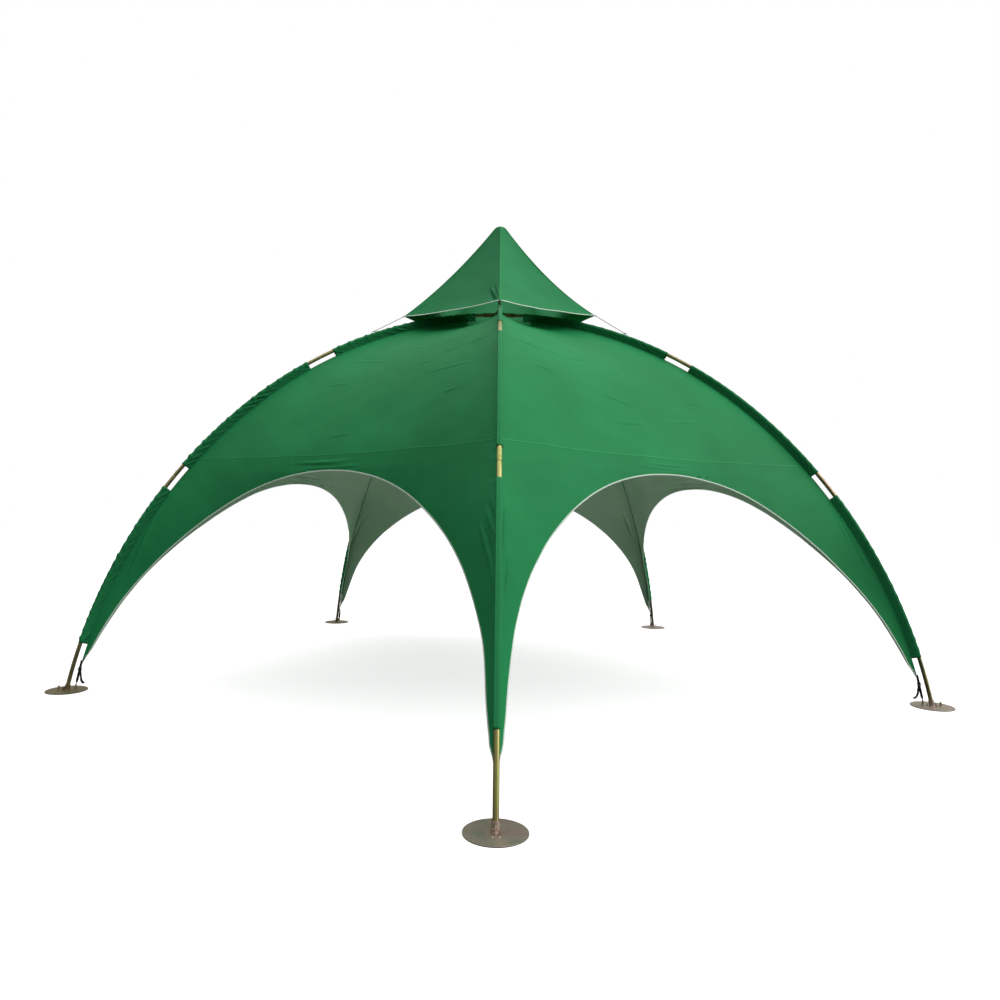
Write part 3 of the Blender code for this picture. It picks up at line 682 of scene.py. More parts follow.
@dataclass(frozen=True)
class ArchLine:
    """Two-radius line of one arch, in the plane of a leg that points along +X.

    Angles are those of the line's outward normal above the horizontal.
    """

    foot_lean: float = radians(11.1)
    lower_radius: float = 4.86
    upper_radius: float = 4.21
    change: float = radians(46.5)
    lower_joint: float = radians(36.2)
    upper_joint: float = radians(59.0)

    @property
    def lower_centre(self) -> Array:
        """Centre of the lower bend."""
        return np.array((LEG_CIRCLE - self.lower_radius * cos(self.foot_lean), 0.0,
                         -self.lower_radius * sin(self.foot_lean)))

    @property
    def upper_centre(self) -> Array:
        """Centre of the upper bend."""
        shift = self.lower_radius - self.upper_radius
        return self.lower_centre + shift * np.array((cos(self.change), 0.0, sin(self.change)))

    def normal(self, angle: Array | float) -> Array:
        """Outward normal in the leg's plane."""
        angle = np.asarray(angle, float)
        return np.stack([np.cos(angle), np.zeros_like(angle), np.sin(angle)], -1)

    def point(self, angle: Array | float, offset: Array | float = 0.0) -> Array:
        """Points on the line.

        Args:
            angle: Angles.
            offset: Distance outward from the line.

        Returns:
            Points in the leg's plane.
        """
        angle = np.asarray(angle, float)
        low = (angle < self.change)[..., None]
        centre = np.where(low, self.lower_centre, self.upper_centre)
        radius = np.where(low[..., 0], self.lower_radius, self.upper_radius) + offset
        return centre + radius[..., None] * self.normal(angle)

    def length(self, angle: Array | float) -> Array:
        """Length along the line from the angle zero."""
        angle = np.asarray(angle, float)
        return (self.lower_radius * np.minimum(angle, self.change)
                + self.upper_radius * np.maximum(angle - self.change, 0.0))

    def angle(self, length: Array | float) -> Array:
        """Angle at a length along the line from the angle zero."""
        length = np.asarray(length, float)
        bend = self.lower_radius * self.change
        return (np.minimum(length, bend) / self.lower_radius
                + np.maximum(length - bend, 0.0) / self.upper_radius)

    def at_reach(self, reach: float) -> float:
        """Angle at which the upper bend is this far from the mast's axis."""
        return acos((reach - float(self.upper_centre[0])) / self.upper_radius)

    def at_height(self, height: float) -> float:
        """Angle at which the lower bend is at this height."""
        return asin((height - float(self.lower_centre[2])) / self.lower_radius)

    @property
    def crown_height(self) -> float:
        """Height of the line over the mast's axis."""
        return float(self.point(self.at_reach(0.0))[2])

    def rings(self, angles: Array, radii: Array | float, sides: int) -> Array:
        """Round rings square to the line.

        Args:
            angles: Angle of each ring.
            radii: Radius of each ring, or one for all.
            sides: Points in a ring.

        Returns:
            Rings of points.
        """
        radii = np.broadcast_to(radii, angles.shape)
        profiles = radii[:, None, None] * circle(1.0, sides)[None]
        return rings_along(self.point(angles), self.normal(angles), SIDE, profiles)


@dataclass
class Poles:
    """Lower, middle and upper tube of each arch, with a snap button at each joint."""

    arch: ArchLine
    radius: float = 0.017
    wall: float = 0.002
    sides: int = 24
    step: float = 0.055
    foot_height: float = 0.009
    swage_length: float = 0.10
    swage_taper: float = 0.008
    clearance: float = 0.0005
    top_reach: float = 0.040
    # Length and depth of the bevel at a cut end
    bevel: tuple[float, float] = (0.0008, 0.0007)
    button_offset: float = 0.042
    button_radius: float = 0.0045
    button_sink: float = 0.0008

    def _tube(self, shell: Shell, start: float, end: float, swaged: bool) -> None:
        """Add one tube.

        Args:
            shell: Mesh that it goes into.
            start: Angle of its lower end.
            end: Angle of its upper end, or of its shoulder where it is swaged.
            swaged: Whether a thinner end slots into the next tube.
        """
        first, last = float(self.arch.length(start)), float(self.arch.length(end))
        count = max(2, round((last - first) / self.step))
        bevel, depth = self.bevel
        bore = self.radius - self.wall
        thin = bore - self.clearance
        if swaged:
            tail = (last, last + self.swage_taper, last + self.swage_length)
            tail_radii = (self.radius, thin, thin)
        else:
            tail, tail_radii = (last - bevel, last), (self.radius, self.radius - depth)
        run = np.concatenate([[first, first + bevel],
                              np.linspace(first, last, count + 1)[1:-1], tail])
        radii = np.concatenate([[self.radius - depth], np.full(count, self.radius), tail_radii])
        inner = np.where(run <= last, bore, thin - self.wall)
        angles = self.arch.angle(run)
        shell.pipe(self.arch.rings(angles, radii, self.sides),
                   self.arch.rings(angles, inner, self.sides))
        for joint in (self.arch.lower_joint, self.arch.upper_joint):
            foot = float(self.arch.length(joint)) + self.button_offset
            if first < foot < last:
                self._button(shell, float(self.arch.angle(foot)))

    def _button(self, shell: Shell, angle: float) -> None:
        """Add a domed snap button with its pressed rim."""
        levels = [(self.button_radius * share, height) for share, height in (
            (1.35, 0.0), (1.35, 0.0010), (1.05, 0.0013), (1.0, 0.0013), (0.95, 0.0026),
            (0.72, 0.0036), (0.36, 0.0042), (0.06, 0.0044))]
        shell.turning(self.arch.point(angle, self.radius - self.button_sink), levels, 16,
                      axis=self.arch.normal(angle), first=SIDE)

    def build(self) -> list[Thing]:
        """Make the tubes of every arch.

        Returns:
            The tubes.
        """
        arch = self.arch
        shoulders = [float(arch.angle(arch.length(joint) + self.swage_taper))
                     for joint in (arch.lower_joint, arch.upper_joint)]
        spans = (("lower", arch.at_height(self.foot_height), arch.lower_joint),
                 ("middle", shoulders[0], arch.upper_joint),
                 ("upper", shoulders[1], arch.at_reach(self.top_reach)))
        tubes = []
        for index, leg in enumerate(LEG_NAMES):
            finish = Finish.TUBE if index else Finish.TUBE_LIME
            for section, start, end in spans:
                shell = Shell(leg_heading(index))
                self._tube(shell, start, end, section != "upper")
                tubes.append(shell.to_object(f"tube_{section}_{leg}", "zinc_tube", [finish],
                                             f"pole_{section}_{leg}", METAL_EDGE))
        return tubes


@dataclass
class Hub:
    """Turned hub body with five welded sockets, a bolt through each, and the mast's seat."""

    arch: ArchLine
    radius: float = 0.048
    height: float = 0.11
    edge: float = 0.003
    socket_radius: float = 0.0215
    tube_radius: float = 0.0175
    socket_reach: float = 0.17
    mast_radius: float = 0.0165
    seat_radius: float = 0.0225
    bolt_reach: float = 0.125
    # Radius and distance from the tube's line: washer, then head
    bolt: tuple[tuple[float, float], ...] = (
        (0.0072, 0.0185), (0.0072, 0.0223), (0.0062, 0.0223), (0.0062, 0.0278), (0.0054, 0.0283))

    def build(self) -> list[Thing]:
        """Make the hub.

        Returns:
            The hub.
        """
        half, edge, top = self.height / 2, self.edge, self.height / 2 + 0.001
        shell = Shell()
        shell.turning((0.0, 0.0, self.arch.crown_height), (
            (self.radius - edge, -half), (self.radius, -half + edge), (self.radius, 0.014),
            (self.radius - edge, 0.018), (self.seat_radius, half), (self.seat_radius, top),
            (self.mast_radius, top), (self.mast_radius, half - 0.06)), 48)
        for index in range(len(LEG_NAMES)):
            shell.heading = leg_heading(index)
            self._socket(shell)
        return [shell.to_object("hub_with_sockets", "zinc_hub", [Finish.HUB], "hub", METAL_EDGE)]

    def _socket(self, shell: Shell) -> None:
        """Add a socket with its weld bead and its cross bolt."""
        arch, sides = self.arch, 32
        reaches = (self.socket_reach, self.socket_reach - 0.0015, 0.14, 0.10, 0.07, 0.042)
        radii = np.array((self.socket_radius - 0.001, *[self.socket_radius] * 5))
        angles = np.array([arch.at_reach(reach) for reach in reaches])
        shell.pipe(arch.rings(angles, radii, sides), arch.rings(angles, self.tube_radius, sides))
        angles = np.array([arch.at_reach(reach) for reach in (0.056, 0.054, 0.0505, 0.047, 0.044)])
        swell = self.socket_radius + np.array((-0.0005, 0.002, 0.0042, 0.0058, 0.006))
        lumps = 1 + 0.02 * np.sin(np.arange(sides) * 2.4)[None, :, None]
        centres = arch.point(angles)[:, None]
        shell.solid(centres + (arch.rings(angles, swell, sides) - centres) * lumps)
        angle = arch.at_reach(self.bolt_reach)
        for side in (-1, 1):
            shell.turning(arch.point(angle), self.bolt, 6, axis=side * SIDE,
                          first=arch.normal(angle))


@dataclass
class Mast:
    """Tube from the hub up to the disc that spreads the cap's peak."""

    arch: ArchLine
    cap: VentCap
    radius: float = 0.016
    wall: float = 0.002
    foot_drop: float = 0.005
    disc_radius: float = 0.035
    disc_thickness: float = 0.005
    disc_edge: float = 0.0012
    plug_radius: float = 0.0135
    plug_depth: float = 0.04
    clearance: float = 0.0006

    def build(self) -> list[Thing]:
        """Make the mast and its disc.

        Returns:
            The mast and the disc.
        """
        top = self.cap.peak_height - 2 * self.cap.cloth - self.clearance
        bottom, edge = top - self.disc_thickness, self.disc_edge
        foot, head = self.arch.crown_height - self.foot_drop, bottom - self.clearance
        line = np.linspace((0.0, 0.0, foot), (0.0, 0.0, head), 6)
        tube, disc = Shell(), Shell()
        tube.pipe(*(rings_along(line, FORWARD, SIDE, circle(radius, 32))
                    for radius in (self.radius, self.radius - self.wall)))
        disc.turning((0.0, 0.0, 0.0), (
            (self.plug_radius, bottom - self.plug_depth), (self.plug_radius, bottom),
            (self.disc_radius - edge, bottom), (self.disc_radius, bottom + edge),
            (self.disc_radius, top - edge), (self.disc_radius - edge, top)), 48)
        return [tube.to_object("mast_tube", "zinc_hub", [Finish.HUB], "mast", METAL_EDGE),
                disc.to_object("mast_disc", "zinc_hub", [Finish.HUB], "peak_disc", METAL_EDGE)]


@dataclass
class Feet:
    """Round base plate with a leaning socket, a gusset, two eyes, a stud and weld beads."""

    arch: ArchLine
    plate_radius: float = 0.170
    plate_thickness: float = 0.006
    socket_radius: float = 0.0215
    tube_radius: float = 0.0175
    socket_height: float = 0.055
    eye_bar: float = 0.004
    eye_height: float = 0.048
    eye_half_width: float = 0.018
    eye_corner: float = 0.006
    eye_reaches: tuple[float, float] = (-0.073, 0.063)
    stud_reach: float = -0.040
    gusset_reach: float = 0.022
    gusset_height: float = 0.042
    gusset_thickness: float = 0.005
    # These two plates are painted darker and greener: painted shade for the darker surround on the
    # left that they reflect
    painted_shade_legs: tuple[str, ...] = ("left", "back_left")

    def build(self) -> list[Thing]:
        """Make the five feet.

        Returns:
            The feet.
        """
        feet = []
        for index, leg in enumerate(LEG_NAMES):
            shell = Shell(leg_heading(index))
            self._plate(shell)
            self._socket(shell)
            self._gusset(shell)
            for reach in self.eye_reaches:
                self._eye(shell, reach)
            self._stud(shell)
            face = Finish.PLATE_PAINTED_SHADE if leg in self.painted_shade_legs else Finish.PLATE
            feet.append(shell.to_object(f"base_plate_{leg}", "zinc_plate",
                                        [face, Finish.TUBE, Finish.PLATE_EDGE], f"foot_{leg}",
                                        METAL_EDGE))
        return feet

    def _plate(self, shell: Shell) -> None:
        """Add the plate, with its cut edge rounded and painted dark as shade."""
        radius, top, edge, sides = self.plate_radius, self.plate_thickness, 0.0015, 96
        shell.turning((LEG_CIRCLE, 0.0, 0.0), (
            (radius * 0.5, 0.0), (radius - edge, 0.0), (radius - edge * 0.3, edge * 0.3),
            (radius, edge), (radius, top - edge), (radius - edge * 0.3, top - edge * 0.3),
            (radius - edge, top), (radius - 0.012, top), (radius * 0.5, top)), sides)
        # The lower chamfer and the side face take the dark edge finish, a painted shade
        shell.slots[-1][sides:4 * sides] = 2

    def _socket(self, shell: Shell) -> None:
        """Add the leaning socket and the lumpy weld bead round its foot."""
        arch, top, radius, count = self.arch, self.plate_thickness, self.socket_radius, 40
        heights = (top * 0.5, 0.02, 0.04, self.socket_height - 0.001, self.socket_height)
        radii = np.array((*[radius] * 4, radius - 0.001))
        angles = np.array([arch.at_height(height) for height in heights])
        shell.pipe(arch.rings(angles, radii, 32), arch.rings(angles, self.tube_radius, 32))
        turns = tau * np.arange(count) / count
        lumps = 1 + 0.25 * np.sin(turns * 13) * np.sin(turns * 5 + 1)
        outward = np.stack([np.cos(turns), np.sin(turns), np.zeros(count)], -1)
        middle = np.array((LEG_CIRCLE - top * sin(arch.foot_lean), 0.0, top + 0.0004))
        profile = circle(1.0, 8)[None] * (0.0045 * lumps)[:, None, None]
        shell.grid(rings_along(middle + (radius + 0.0012) * outward, outward, UP, profile),
                   around=True, along=True, flip=True)

    def _gusset(self, shell: Shell) -> None:
        """Add the triangular gusset on the outer side of the socket."""
        inner, low = self.socket_radius * 0.9, self.plate_thickness * 0.6
        outer = self.socket_radius + self.gusset_reach
        corners = ((inner, low), (outer, low), (outer, low + 0.008),
                   (outer - 0.004, low + 0.013), (inner, low + self.gusset_height))
        half, bevel = self.gusset_thickness / 2, 0.0006
        shell.solid(np.array([
            [(LEG_CIRCLE + reach - inset - height * sin(self.arch.foot_lean), side, height)
             for reach, height in corners]
            for side, inset in ((half, bevel), (half - bevel, 0.0), (bevel - half, 0.0),
                                (-half, bevel))]))

    def _eye(self, shell: Shell, reach: float) -> None:
        """Add a square-shouldered eye of round bar across the plate, with its two welds."""
        place, wide, corner = LEG_CIRCLE + reach, self.eye_half_width, self.eye_corner
        shoulder = self.eye_height - self.eye_bar - corner
        half_path = [(-wide, self.plate_thickness * 0.4), (-wide, shoulder * 0.5)]
        for turn in (pi - step * pi / 12 for step in range(7)):
            half_path.append((corner - wide + corner * cos(turn), shoulder + corner * sin(turn)))
        path = half_path + [(-across, height) for across, height in half_path[::-1]]
        points = np.array([(place, across, height) for across, height in path])
        shell.solid(rings_along(points, *path_frame(points, FORWARD), circle(self.eye_bar, 12)), 1)
        for side in (-1, 1):
            shell.turning((place, side * wide, 0.0), (
                (0.0085, 0.0055), (0.0078, 0.0075), (0.0058, 0.0098), (0.0036, 0.0112)), 14)

    def _stud(self, shell: Shell) -> None:
        """Add the short round stud and its weld."""
        top = self.plate_thickness
        shell.turning((LEG_CIRCLE + self.stud_reach, 0.0, 0.0), (
            (0.0075, top - 0.001), (0.0065, top + 0.0022), (0.0042, top + 0.004),
            (0.0040, 0.0225), (0.0033, 0.0242), (0.0018, 0.0250)), 16, 1)


# Cloth pieces

@dataclass
class ArchSleeves:
    """Fin of doubled cloth with a pole sleeve along each arch, open at the pole joints."""

    arch: ArchLine
    sleeve_radius: float = 0.0199
    depth: float = 0.0575
    flange: float = 0.006
    half_gap: float = 0.0013
    strip: float = 0.003
    foot: float = radians(16.2)
    # The front sleeve has slipped up by a hand's width
    slips: tuple[float, ...] = (radians(0.78), 0.0, 0.0, radians(0.25), 0.0)
    top_reach: float = 0.27
    window: float = 0.26
    # Each upper window lies a little off its pole joint and has its own length
    upper_shifts: tuple[float, ...] = (-0.072, 0.0, 0.0, 0.0, 0.0)
    upper_windows: tuple[float, ...] = (0.25, 0.26, 0.26, 0.26, 0.286)
    # The front sleeve is drawn smooth, the others hang in gathers
    loosenesses: tuple[float, ...] = (0.12, 0.45, 0.8, 0.8, 1.0)
    hem: float = 0.016
    cloth: float = 0.0008
    row: float = 0.012
    around: int = 12
    straight: int = 7
    # The front sleeve is folded to a sharp edge on its left, up to this angle of its arch
    fold_end: float = radians(57.0)
    fold_fade: float = radians(3.0)
    fold_corner: tuple[float, float] = (1.08, -0.95)
    fold_flat_end: float = radians(55.7)
    # The sheet is a strip as long as the arch between its ends and 0.20 m wide
    flat: tuple[float, float] = (0.200, 5.50)

    def openings(self, index: int) -> tuple[tuple[float, float], ...]:
        """Lengths along one arch at which its two windows start and end."""
        spans = []
        for joint, shift, window in (
                (self.arch.lower_joint, 0.0, self.window),
                (self.arch.upper_joint, self.upper_shifts[index], self.upper_windows[index])):
            middle = float(self.arch.length(joint)) + shift
            spans.append((middle - window / 2, middle + window / 2))
        return tuple(spans)

    def rows(self, index: int) -> Array:
        """Lengths along the arch of the rows, with one at each end of a window and hem.

        Args:
            index: Number of the leg.

        Returns:
            Lengths of the rows.
        """
        arch = self.arch
        first = float(arch.length(self.foot + self.slips[index]))
        last = float(arch.length(arch.at_reach(self.top_reach)))
        marks = [first, first + self.hem, last - self.hem, last]
        for low, high in self.openings(index):
            marks += [low - self.hem, low, high, high + self.hem]
        marks.sort()
        pieces = []
        for low, high in zip(marks, marks[1:]):
            count = max(1, round((high - low) / self.row))
            pieces.append(np.linspace(low, high, count, endpoint=False))
        return np.concatenate([*pieces, [last]])

    def section(self) -> tuple[Array, Array]:
        """Drop-shaped section of the doubled cloth, from the left foot round the pole.

        Returns:
            Height above the pole's line and sideways offset of each point, and how freely it
            moves: 0 at the stitch line and 1 on the sleeve.
        """
        stitch = self.depth - self.strip
        lean = acos(self.sleeve_radius / stitch)
        turns = pi + lean + (tau - 2 * lean) * np.arange(self.around + 1) / self.around
        loop = self.sleeve_radius * np.stack([np.cos(turns), np.sin(turns)], -1)
        foot = np.array([(-self.depth - self.flange, -self.half_gap),
                         (-self.depth, -self.half_gap)])
        layer = np.linspace((-stitch, -self.half_gap), loop[0], self.straight, endpoint=False)
        left = np.concatenate([foot, layer])
        rise = np.concatenate([np.zeros(2), np.arange(self.straight) / self.straight])
        shape = np.concatenate([left, loop, left[::-1] * (1, -1)])
        return shape, np.concatenate([rise, np.ones(len(loop)), rise[::-1]])

    def folded(self, shape: Array, freedom: Array) -> Array:
        """Cross-section with its left edge folded to a corner, flat from there to the right.

        Args:
            shape: Plain cross-section.
            freedom: How freely each of its points moves.

        Returns:
            The folded cross-section.
        """
        loop, bent = freedom >= 1, shape.copy()
        turns = np.arctan2(shape[:, 1], shape[:, 0])
        rays = np.stack([np.cos(turns), np.sin(turns)], -1)
        corner = np.array(self.fold_corner)
        bend = atan2(corner[1], corner[0]) + 0.01
        for end, side in ((turns[loop].min(), turns <= bend),
                          (self.fold_flat_end, (turns > bend) & (turns < self.fold_flat_end))):
            run = np.array((cos(end), sin(end))) - corner
            normal = unit(np.array((run[1], -run[0])))
            facing = rays @ normal
            reach = np.maximum((normal @ corner) / np.where(abs(facing) < 0.05, 1.0, facing), 0.9)
            bent[loop & side] = (self.sleeve_radius * reach[:, None] * rays)[loop & side]
        return bent

    def relief(self, run: Array, shape: Array, freedom: Array, seed: int) -> Array:
        """Gathers of the two layers, which the pull of the pole draws up.

        Args:
            run: Length along the arch of each row.
            shape: Cross-section.
            freedom: How freely each of its points moves.
            seed: Number of the arch.

        Returns:
            Outward shift of each point of each row.
        """
        grid_run, height = np.meshgrid(run, shape[:, 0], indexing="ij")
        bulge = np.sin(pi * np.clip(freedom, 0, 1) ** 0.8) + 0.25 * (freedom > 0)
        slow = Ripple(140 + seed, 0.25, 0.9, 0.6, spread=0.3, count=4)
        strength = np.clip(0.8 + slow.lift(grid_run, height), 0.25, 1.7)
        fold = np.zeros(grid_run.shape)
        for side, number in ((-1, 100 + seed), (1, 120 + seed)):
            gathers = Ripple(number, 0.055, 0.11, 0.0036, spread=0.3, count=7)
            own = gathers.lift(grid_run + 2.6 * side * height, height * 0.3)
            fold += np.where(shape[:, 1] * side > 0, own, 0.0)
        loose = Ripple(180 + seed, 0.06, 0.12, 0.0034, spread=0.5, count=6)
        return self.loosenesses[seed] * (bulge * strength * fold + (freedom >= 1) * np.clip(
            loose.lift(grid_run, height), -0.0012, 0.0060))

    def build(self) -> list[Thing]:
        """Make the sleeve of every arch.

        Returns:
            The sleeves.
        """
        shape, freedom = self.section()
        columns = np.arange(len(shape) - 1)
        slope = unit(np.gradient(shape, axis=0))
        outward = np.stack([slope[:, 1], -slope[:, 0]], -1)
        sleeves = []
        for index, leg in enumerate(LEG_NAMES):
            run = self.rows(index)
            angles = self.arch.angle(run)
            middles = (run[:-1] + run[1:]) / 2
            hollow = np.zeros(middles.shape, bool)
            for low, high in self.openings(index):
                hollow |= (middles > low) & (middles < high)
            keep = ~(hollow[:, None] & ((columns >= 2) & (columns < len(columns) - 2))[None])
            fold = np.clip((self.fold_end - angles) / self.fold_fade, 0, 1) * (index == 0)
            plain = shape + fold[:, None, None] * (self.folded(shape, freedom) - shape)
            moved = plain + self.relief(run, shape, freedom, index)[..., None] * outward
            shell = Shell(leg_heading(index))
            shell.grid(rings_along(self.arch.point(angles), self.arch.normal(angles), SIDE, moved),
                       np.stack(np.meshgrid(run_along(shape), run), -1), keep=keep)
            sleeve = shell.to_object(f"fin_sleeve_{leg}", "sleeve_cloth", [Finish.SLEEVE],
                                     f"arch_sleeve_{leg}", FOLD_EDGE)
            cloth = sleeve.modifiers.new("cloth", "SOLIDIFY")
            cloth.thickness, cloth.offset = self.cloth, 1.0
            sleeves.append(sleeve)
        return sleeves


@dataclass(frozen=True)
class HalfPanel:
    """Half of a canopy panel: its side, 1 for the anticlockwise one or -1, and its folds."""

    side: float
    seed: int
    creases: Sequence[Crease]


@dataclass
class CanopyPanels:
    """Five cloth panels between the arches, each with a doorway, a seam and a vent edge."""

    arch: ArchLine
    fin_depth: float = 0.0575
    setback: float = 0.0035
    root: float = radians(9.9)
    tip: float = radians(14.3)
    door_top: float = radians(38.0)
    seam: float = radians(39.3)
    vent_cusp: float = radians(81.0)
    vent_dip: float = radians(2.5)
    door_sag: float = 0.152
    # The free edge is drawn in most at this share of the doorway's rise
    slack_rise: float = 0.80
    slack_power: float = 2.2
    door_power: float = 1.93
    # Share by which a leg's wing is flat, where 0 is a round hollow
    wing_flatness: float = 0.8
    panel_sag: float = 0.05
    seam_sag: float = 0.10
    seam_bow: float = radians(0.60)
    recovery: float = radians(8.0)
    shoulder_sag: float = 0.025
    wing_strip: float = 0.028
    strip_angle: float = radians(17.8)
    strip_span: float = radians(4.2)
    point_length: float = radians(1.6)
    cloth: float = 0.0012
    wing_rows: int = 80
    band_rows: int = 14
    # Rows from the seam to above the folds, and from there to the vent edge
    fold_rows: int = 108
    plain_rows: int = 42
    plain_rise: float = 2.58
    columns: int = 44
    join_reach: float = 0.42
    # Leg tip to leg tip, and leg tip to vent edge along the arch
    flat: tuple[float, float] = (4.60, 5.12)
    flat_area: float = 7.5
    # Widths of the seams at the doorway's top, along the vent edge and beside the doorway
    seam_widths: tuple[float, float, float] = (0.009, 0.022, 0.005)
    seam_height: float = 0.0009
    # Seam allowance that turns down beside the fin
    allowance: float = 0.011
    binding_width: float = 0.0095
    tape: float = 0.0009
    # Folds seen on the front panels: start and end in metres, then width, height and, for some,
    # bow in millimetres
    seen_folds: dict[str, dict[Datum, tuple[tuple[float, ...], ...]]] = field(
        default_factory=lambda: {
            "front_left": {
                Datum.MIDLINE: (
                    (1.00, 1.51, 0.72, 1.45, 14, 7.4, 12), (0.76, 1.47, 0.48, 1.43, 14, 6.9, -12),
                    (0.59, 1.03, 1.01, 1.05, 14, 6.0), (0.33, 1.24, 0.47, 1.28, 13, 5.5),
                    (0.93, 0.64, 1.04, 0.68, 13, 7.8), (-0.05, 1.72, 0.12, 1.72, 14, 5.5),
                    (-0.15, 1.44, -0.68, 1.54, 18, 6.0, 15), (-0.62, 1.03, -0.37, 1.04, 15, 5.1),
                    (-0.13, 0.25, 0.09, 0.28, 14, 5.1)),
                Datum.LAST_FIN: (
                    (0.07, -0.47, 0.02, -0.60, 11, 13.5), (0.11, -0.55, 0.02, -0.79, 12, 16.5),
                    (0.17, -0.65, 0.06, -0.98, 13, 16.5), (0.06, -0.98, 0.02, -1.12, 11, 13.0)),
                Datum.FIRST_FIN: (
                    (0.03, -0.55, 0.06, -1.00, 12, 7.0), (0.05, -0.75, 0.11, -1.35, 13, 8.0),
                    (0.02, -0.42, 0.04, -0.80, 10, 6.0))},
            "front_right": {
                Datum.MIDLINE: (
                    (-0.94, 1.53, -0.68, 1.44, 14, 7.4, 12),
                    (-0.72, 1.45, -0.46, 1.36, 14, 6.9, -12),
                    (-0.48, 1.36, -0.17, 1.39, 14, 6.0, 10), (-1.01, 1.05, -0.74, 0.99, 14, 6.4),
                    (-0.35, 0.80, -0.04, 0.66, 16, 7.8), (-0.39, 0.42, -0.06, 0.42, 12, 6.9),
                    (0.76, 0.53, 0.21, 0.50, 12, 7.8, 8), (0.67, 0.82, 0.92, 0.79, 14, 6.0),
                    (0.36, 1.45, 0.52, 1.41, 14, 5.5)),
                Datum.FIRST_FIN: (
                    (0.06, -0.48, 0.02, -1.01, 12, 16.0), (0.11, -0.84, 0.06, -1.22, 13, 15.0),
                    (0.06, -1.22, 0.06, -1.40, 11, 8.5)),
                Datum.LAST_FIN: (
                    (0.06, -0.50, 0.08, -0.82, 11, 7.0), (0.02, -0.60, 0.05, -1.10, 13, 7.0))}})

    def place(self, rise: Array, share: Array, side: float) -> Array:
        """Points of the bare surface of one half panel whose mid line points along +X.

        Args:
            rise: 0 at the leg tip, 1 at the doorway's top, 2 at the seam, 3 at the vent edge.
            share: 0 at the fin and 1 at the free edge or the mid line.
            side: 1 for the anticlockwise half and -1 for the clockwise one.

        Returns:
            Points in the panel's own frame.
        """
        angle, across_share, sag = self._row_facts(rise, share)
        edge = self.arch.point(angle, -self.fin_depth)
        across = edge[..., 0] * sin(HALF_STEP) - self.setback * cos(HALF_STEP)
        reach = edge[..., 0] * cos(HALF_STEP) + self.setback * sin(HALF_STEP)
        points = np.stack([reach, across * (1 - 2 * across_share), edge[..., 2]], -1)
        points = points - sag[..., None] * self.arch.normal(angle)
        away = np.array((sin(HALF_STEP), -cos(HALF_STEP), 0.0))
        short = np.maximum(0.0, self.setback - points @ away)
        return (points + short[..., None] * away) * (1.0, side, 1.0)

    def _row_facts(self, rise: Array, share: Array) -> tuple[Array, Array, Array]:
        """Arch angle, share of the width and sag at each point.

        Args:
            rise: As for place.
            share: As for place.

        Returns:
            Angle, share of the panel's width from the fin, and sag.
        """
        span = self.door_top - self.root
        tip_along = 1 - sqrt(1 - (self.tip - self.root) / span)
        along = tip_along + (1 - tip_along) * np.clip(rise, 0, 1)
        wing_angle = self.root + span * (1 - (1 - along) ** 2)
        band = np.clip(rise - 1, 0, 1)
        bow = 2 * share - share ** 2
        seam = self.seam + self.seam_bow * bow
        vent = self.vent_cusp - self.vent_dip * bow
        upper = seam + (vent - seam) * np.clip(rise - 2, 0, 1)
        angle = np.where(rise <= 1, wing_angle, np.where(
            rise <= 2, self.door_top + (seam - self.door_top) * band, upper))
        half_width = self.arch.point(wing_angle, -self.fin_depth)[..., 0] * sin(HALF_STEP)
        strip = self.wing_strip * np.exp(-((wing_angle - self.strip_angle)
                                           / self.strip_span) ** 2) / half_width
        taper = np.clip((wing_angle - self.tip) / self.point_length + 0.12, 0, 1) ** 0.8
        width = (along ** self.door_power + strip) * taper
        across = np.where(rise <= 1, width / 2 * share, share / 2)
        grown = np.clip((wing_angle - self.root) / span, 0, 1)
        slack = self.door_sag * np.sin(pi / 2 * grown / self.slack_rise) ** self.slack_power
        whole = np.minimum(2 * width - width ** 2, 1.0)
        flat = bow + self.wing_flatness * (share - bow)
        hollow = np.where(rise <= 1, (1 - whole) * flat + 4 * across * (1 - across), bow)
        climb = np.clip((angle - self.seam) / (self.vent_cusp - self.seam), 0, 1)
        fading = np.exp(-np.maximum(angle - seam, 0.0) / self.recovery)
        above = (self.panel_sag + self.shoulder_sag * np.sin(pi * climb ** 2)
                 + (self.seam_sag - self.panel_sag) * fading)
        sag = np.where(rise <= 1, slack, slack + (above - slack) * band)
        return angle, across, sag * hollow

    def measure(self, rise: Array, share: Array, side: float) -> tuple[Array, Array, Array]:
        """Place of each point on the flat cloth.

        Args:
            rise: As for place.
            share: As for place.
            side: Which half.

        Returns:
            Distance from the mid line, height above the seam, and distance from the fin.
        """
        angle, across_share, _ = self._row_facts(rise, share)
        half = self.arch.point(angle, -self.fin_depth)[..., 0] * sin(HALF_STEP)
        height = self.arch.length(angle) - float(self.arch.length(self.seam))
        return side * half * (1 - 2 * across_share), height, 2 * half * across_share

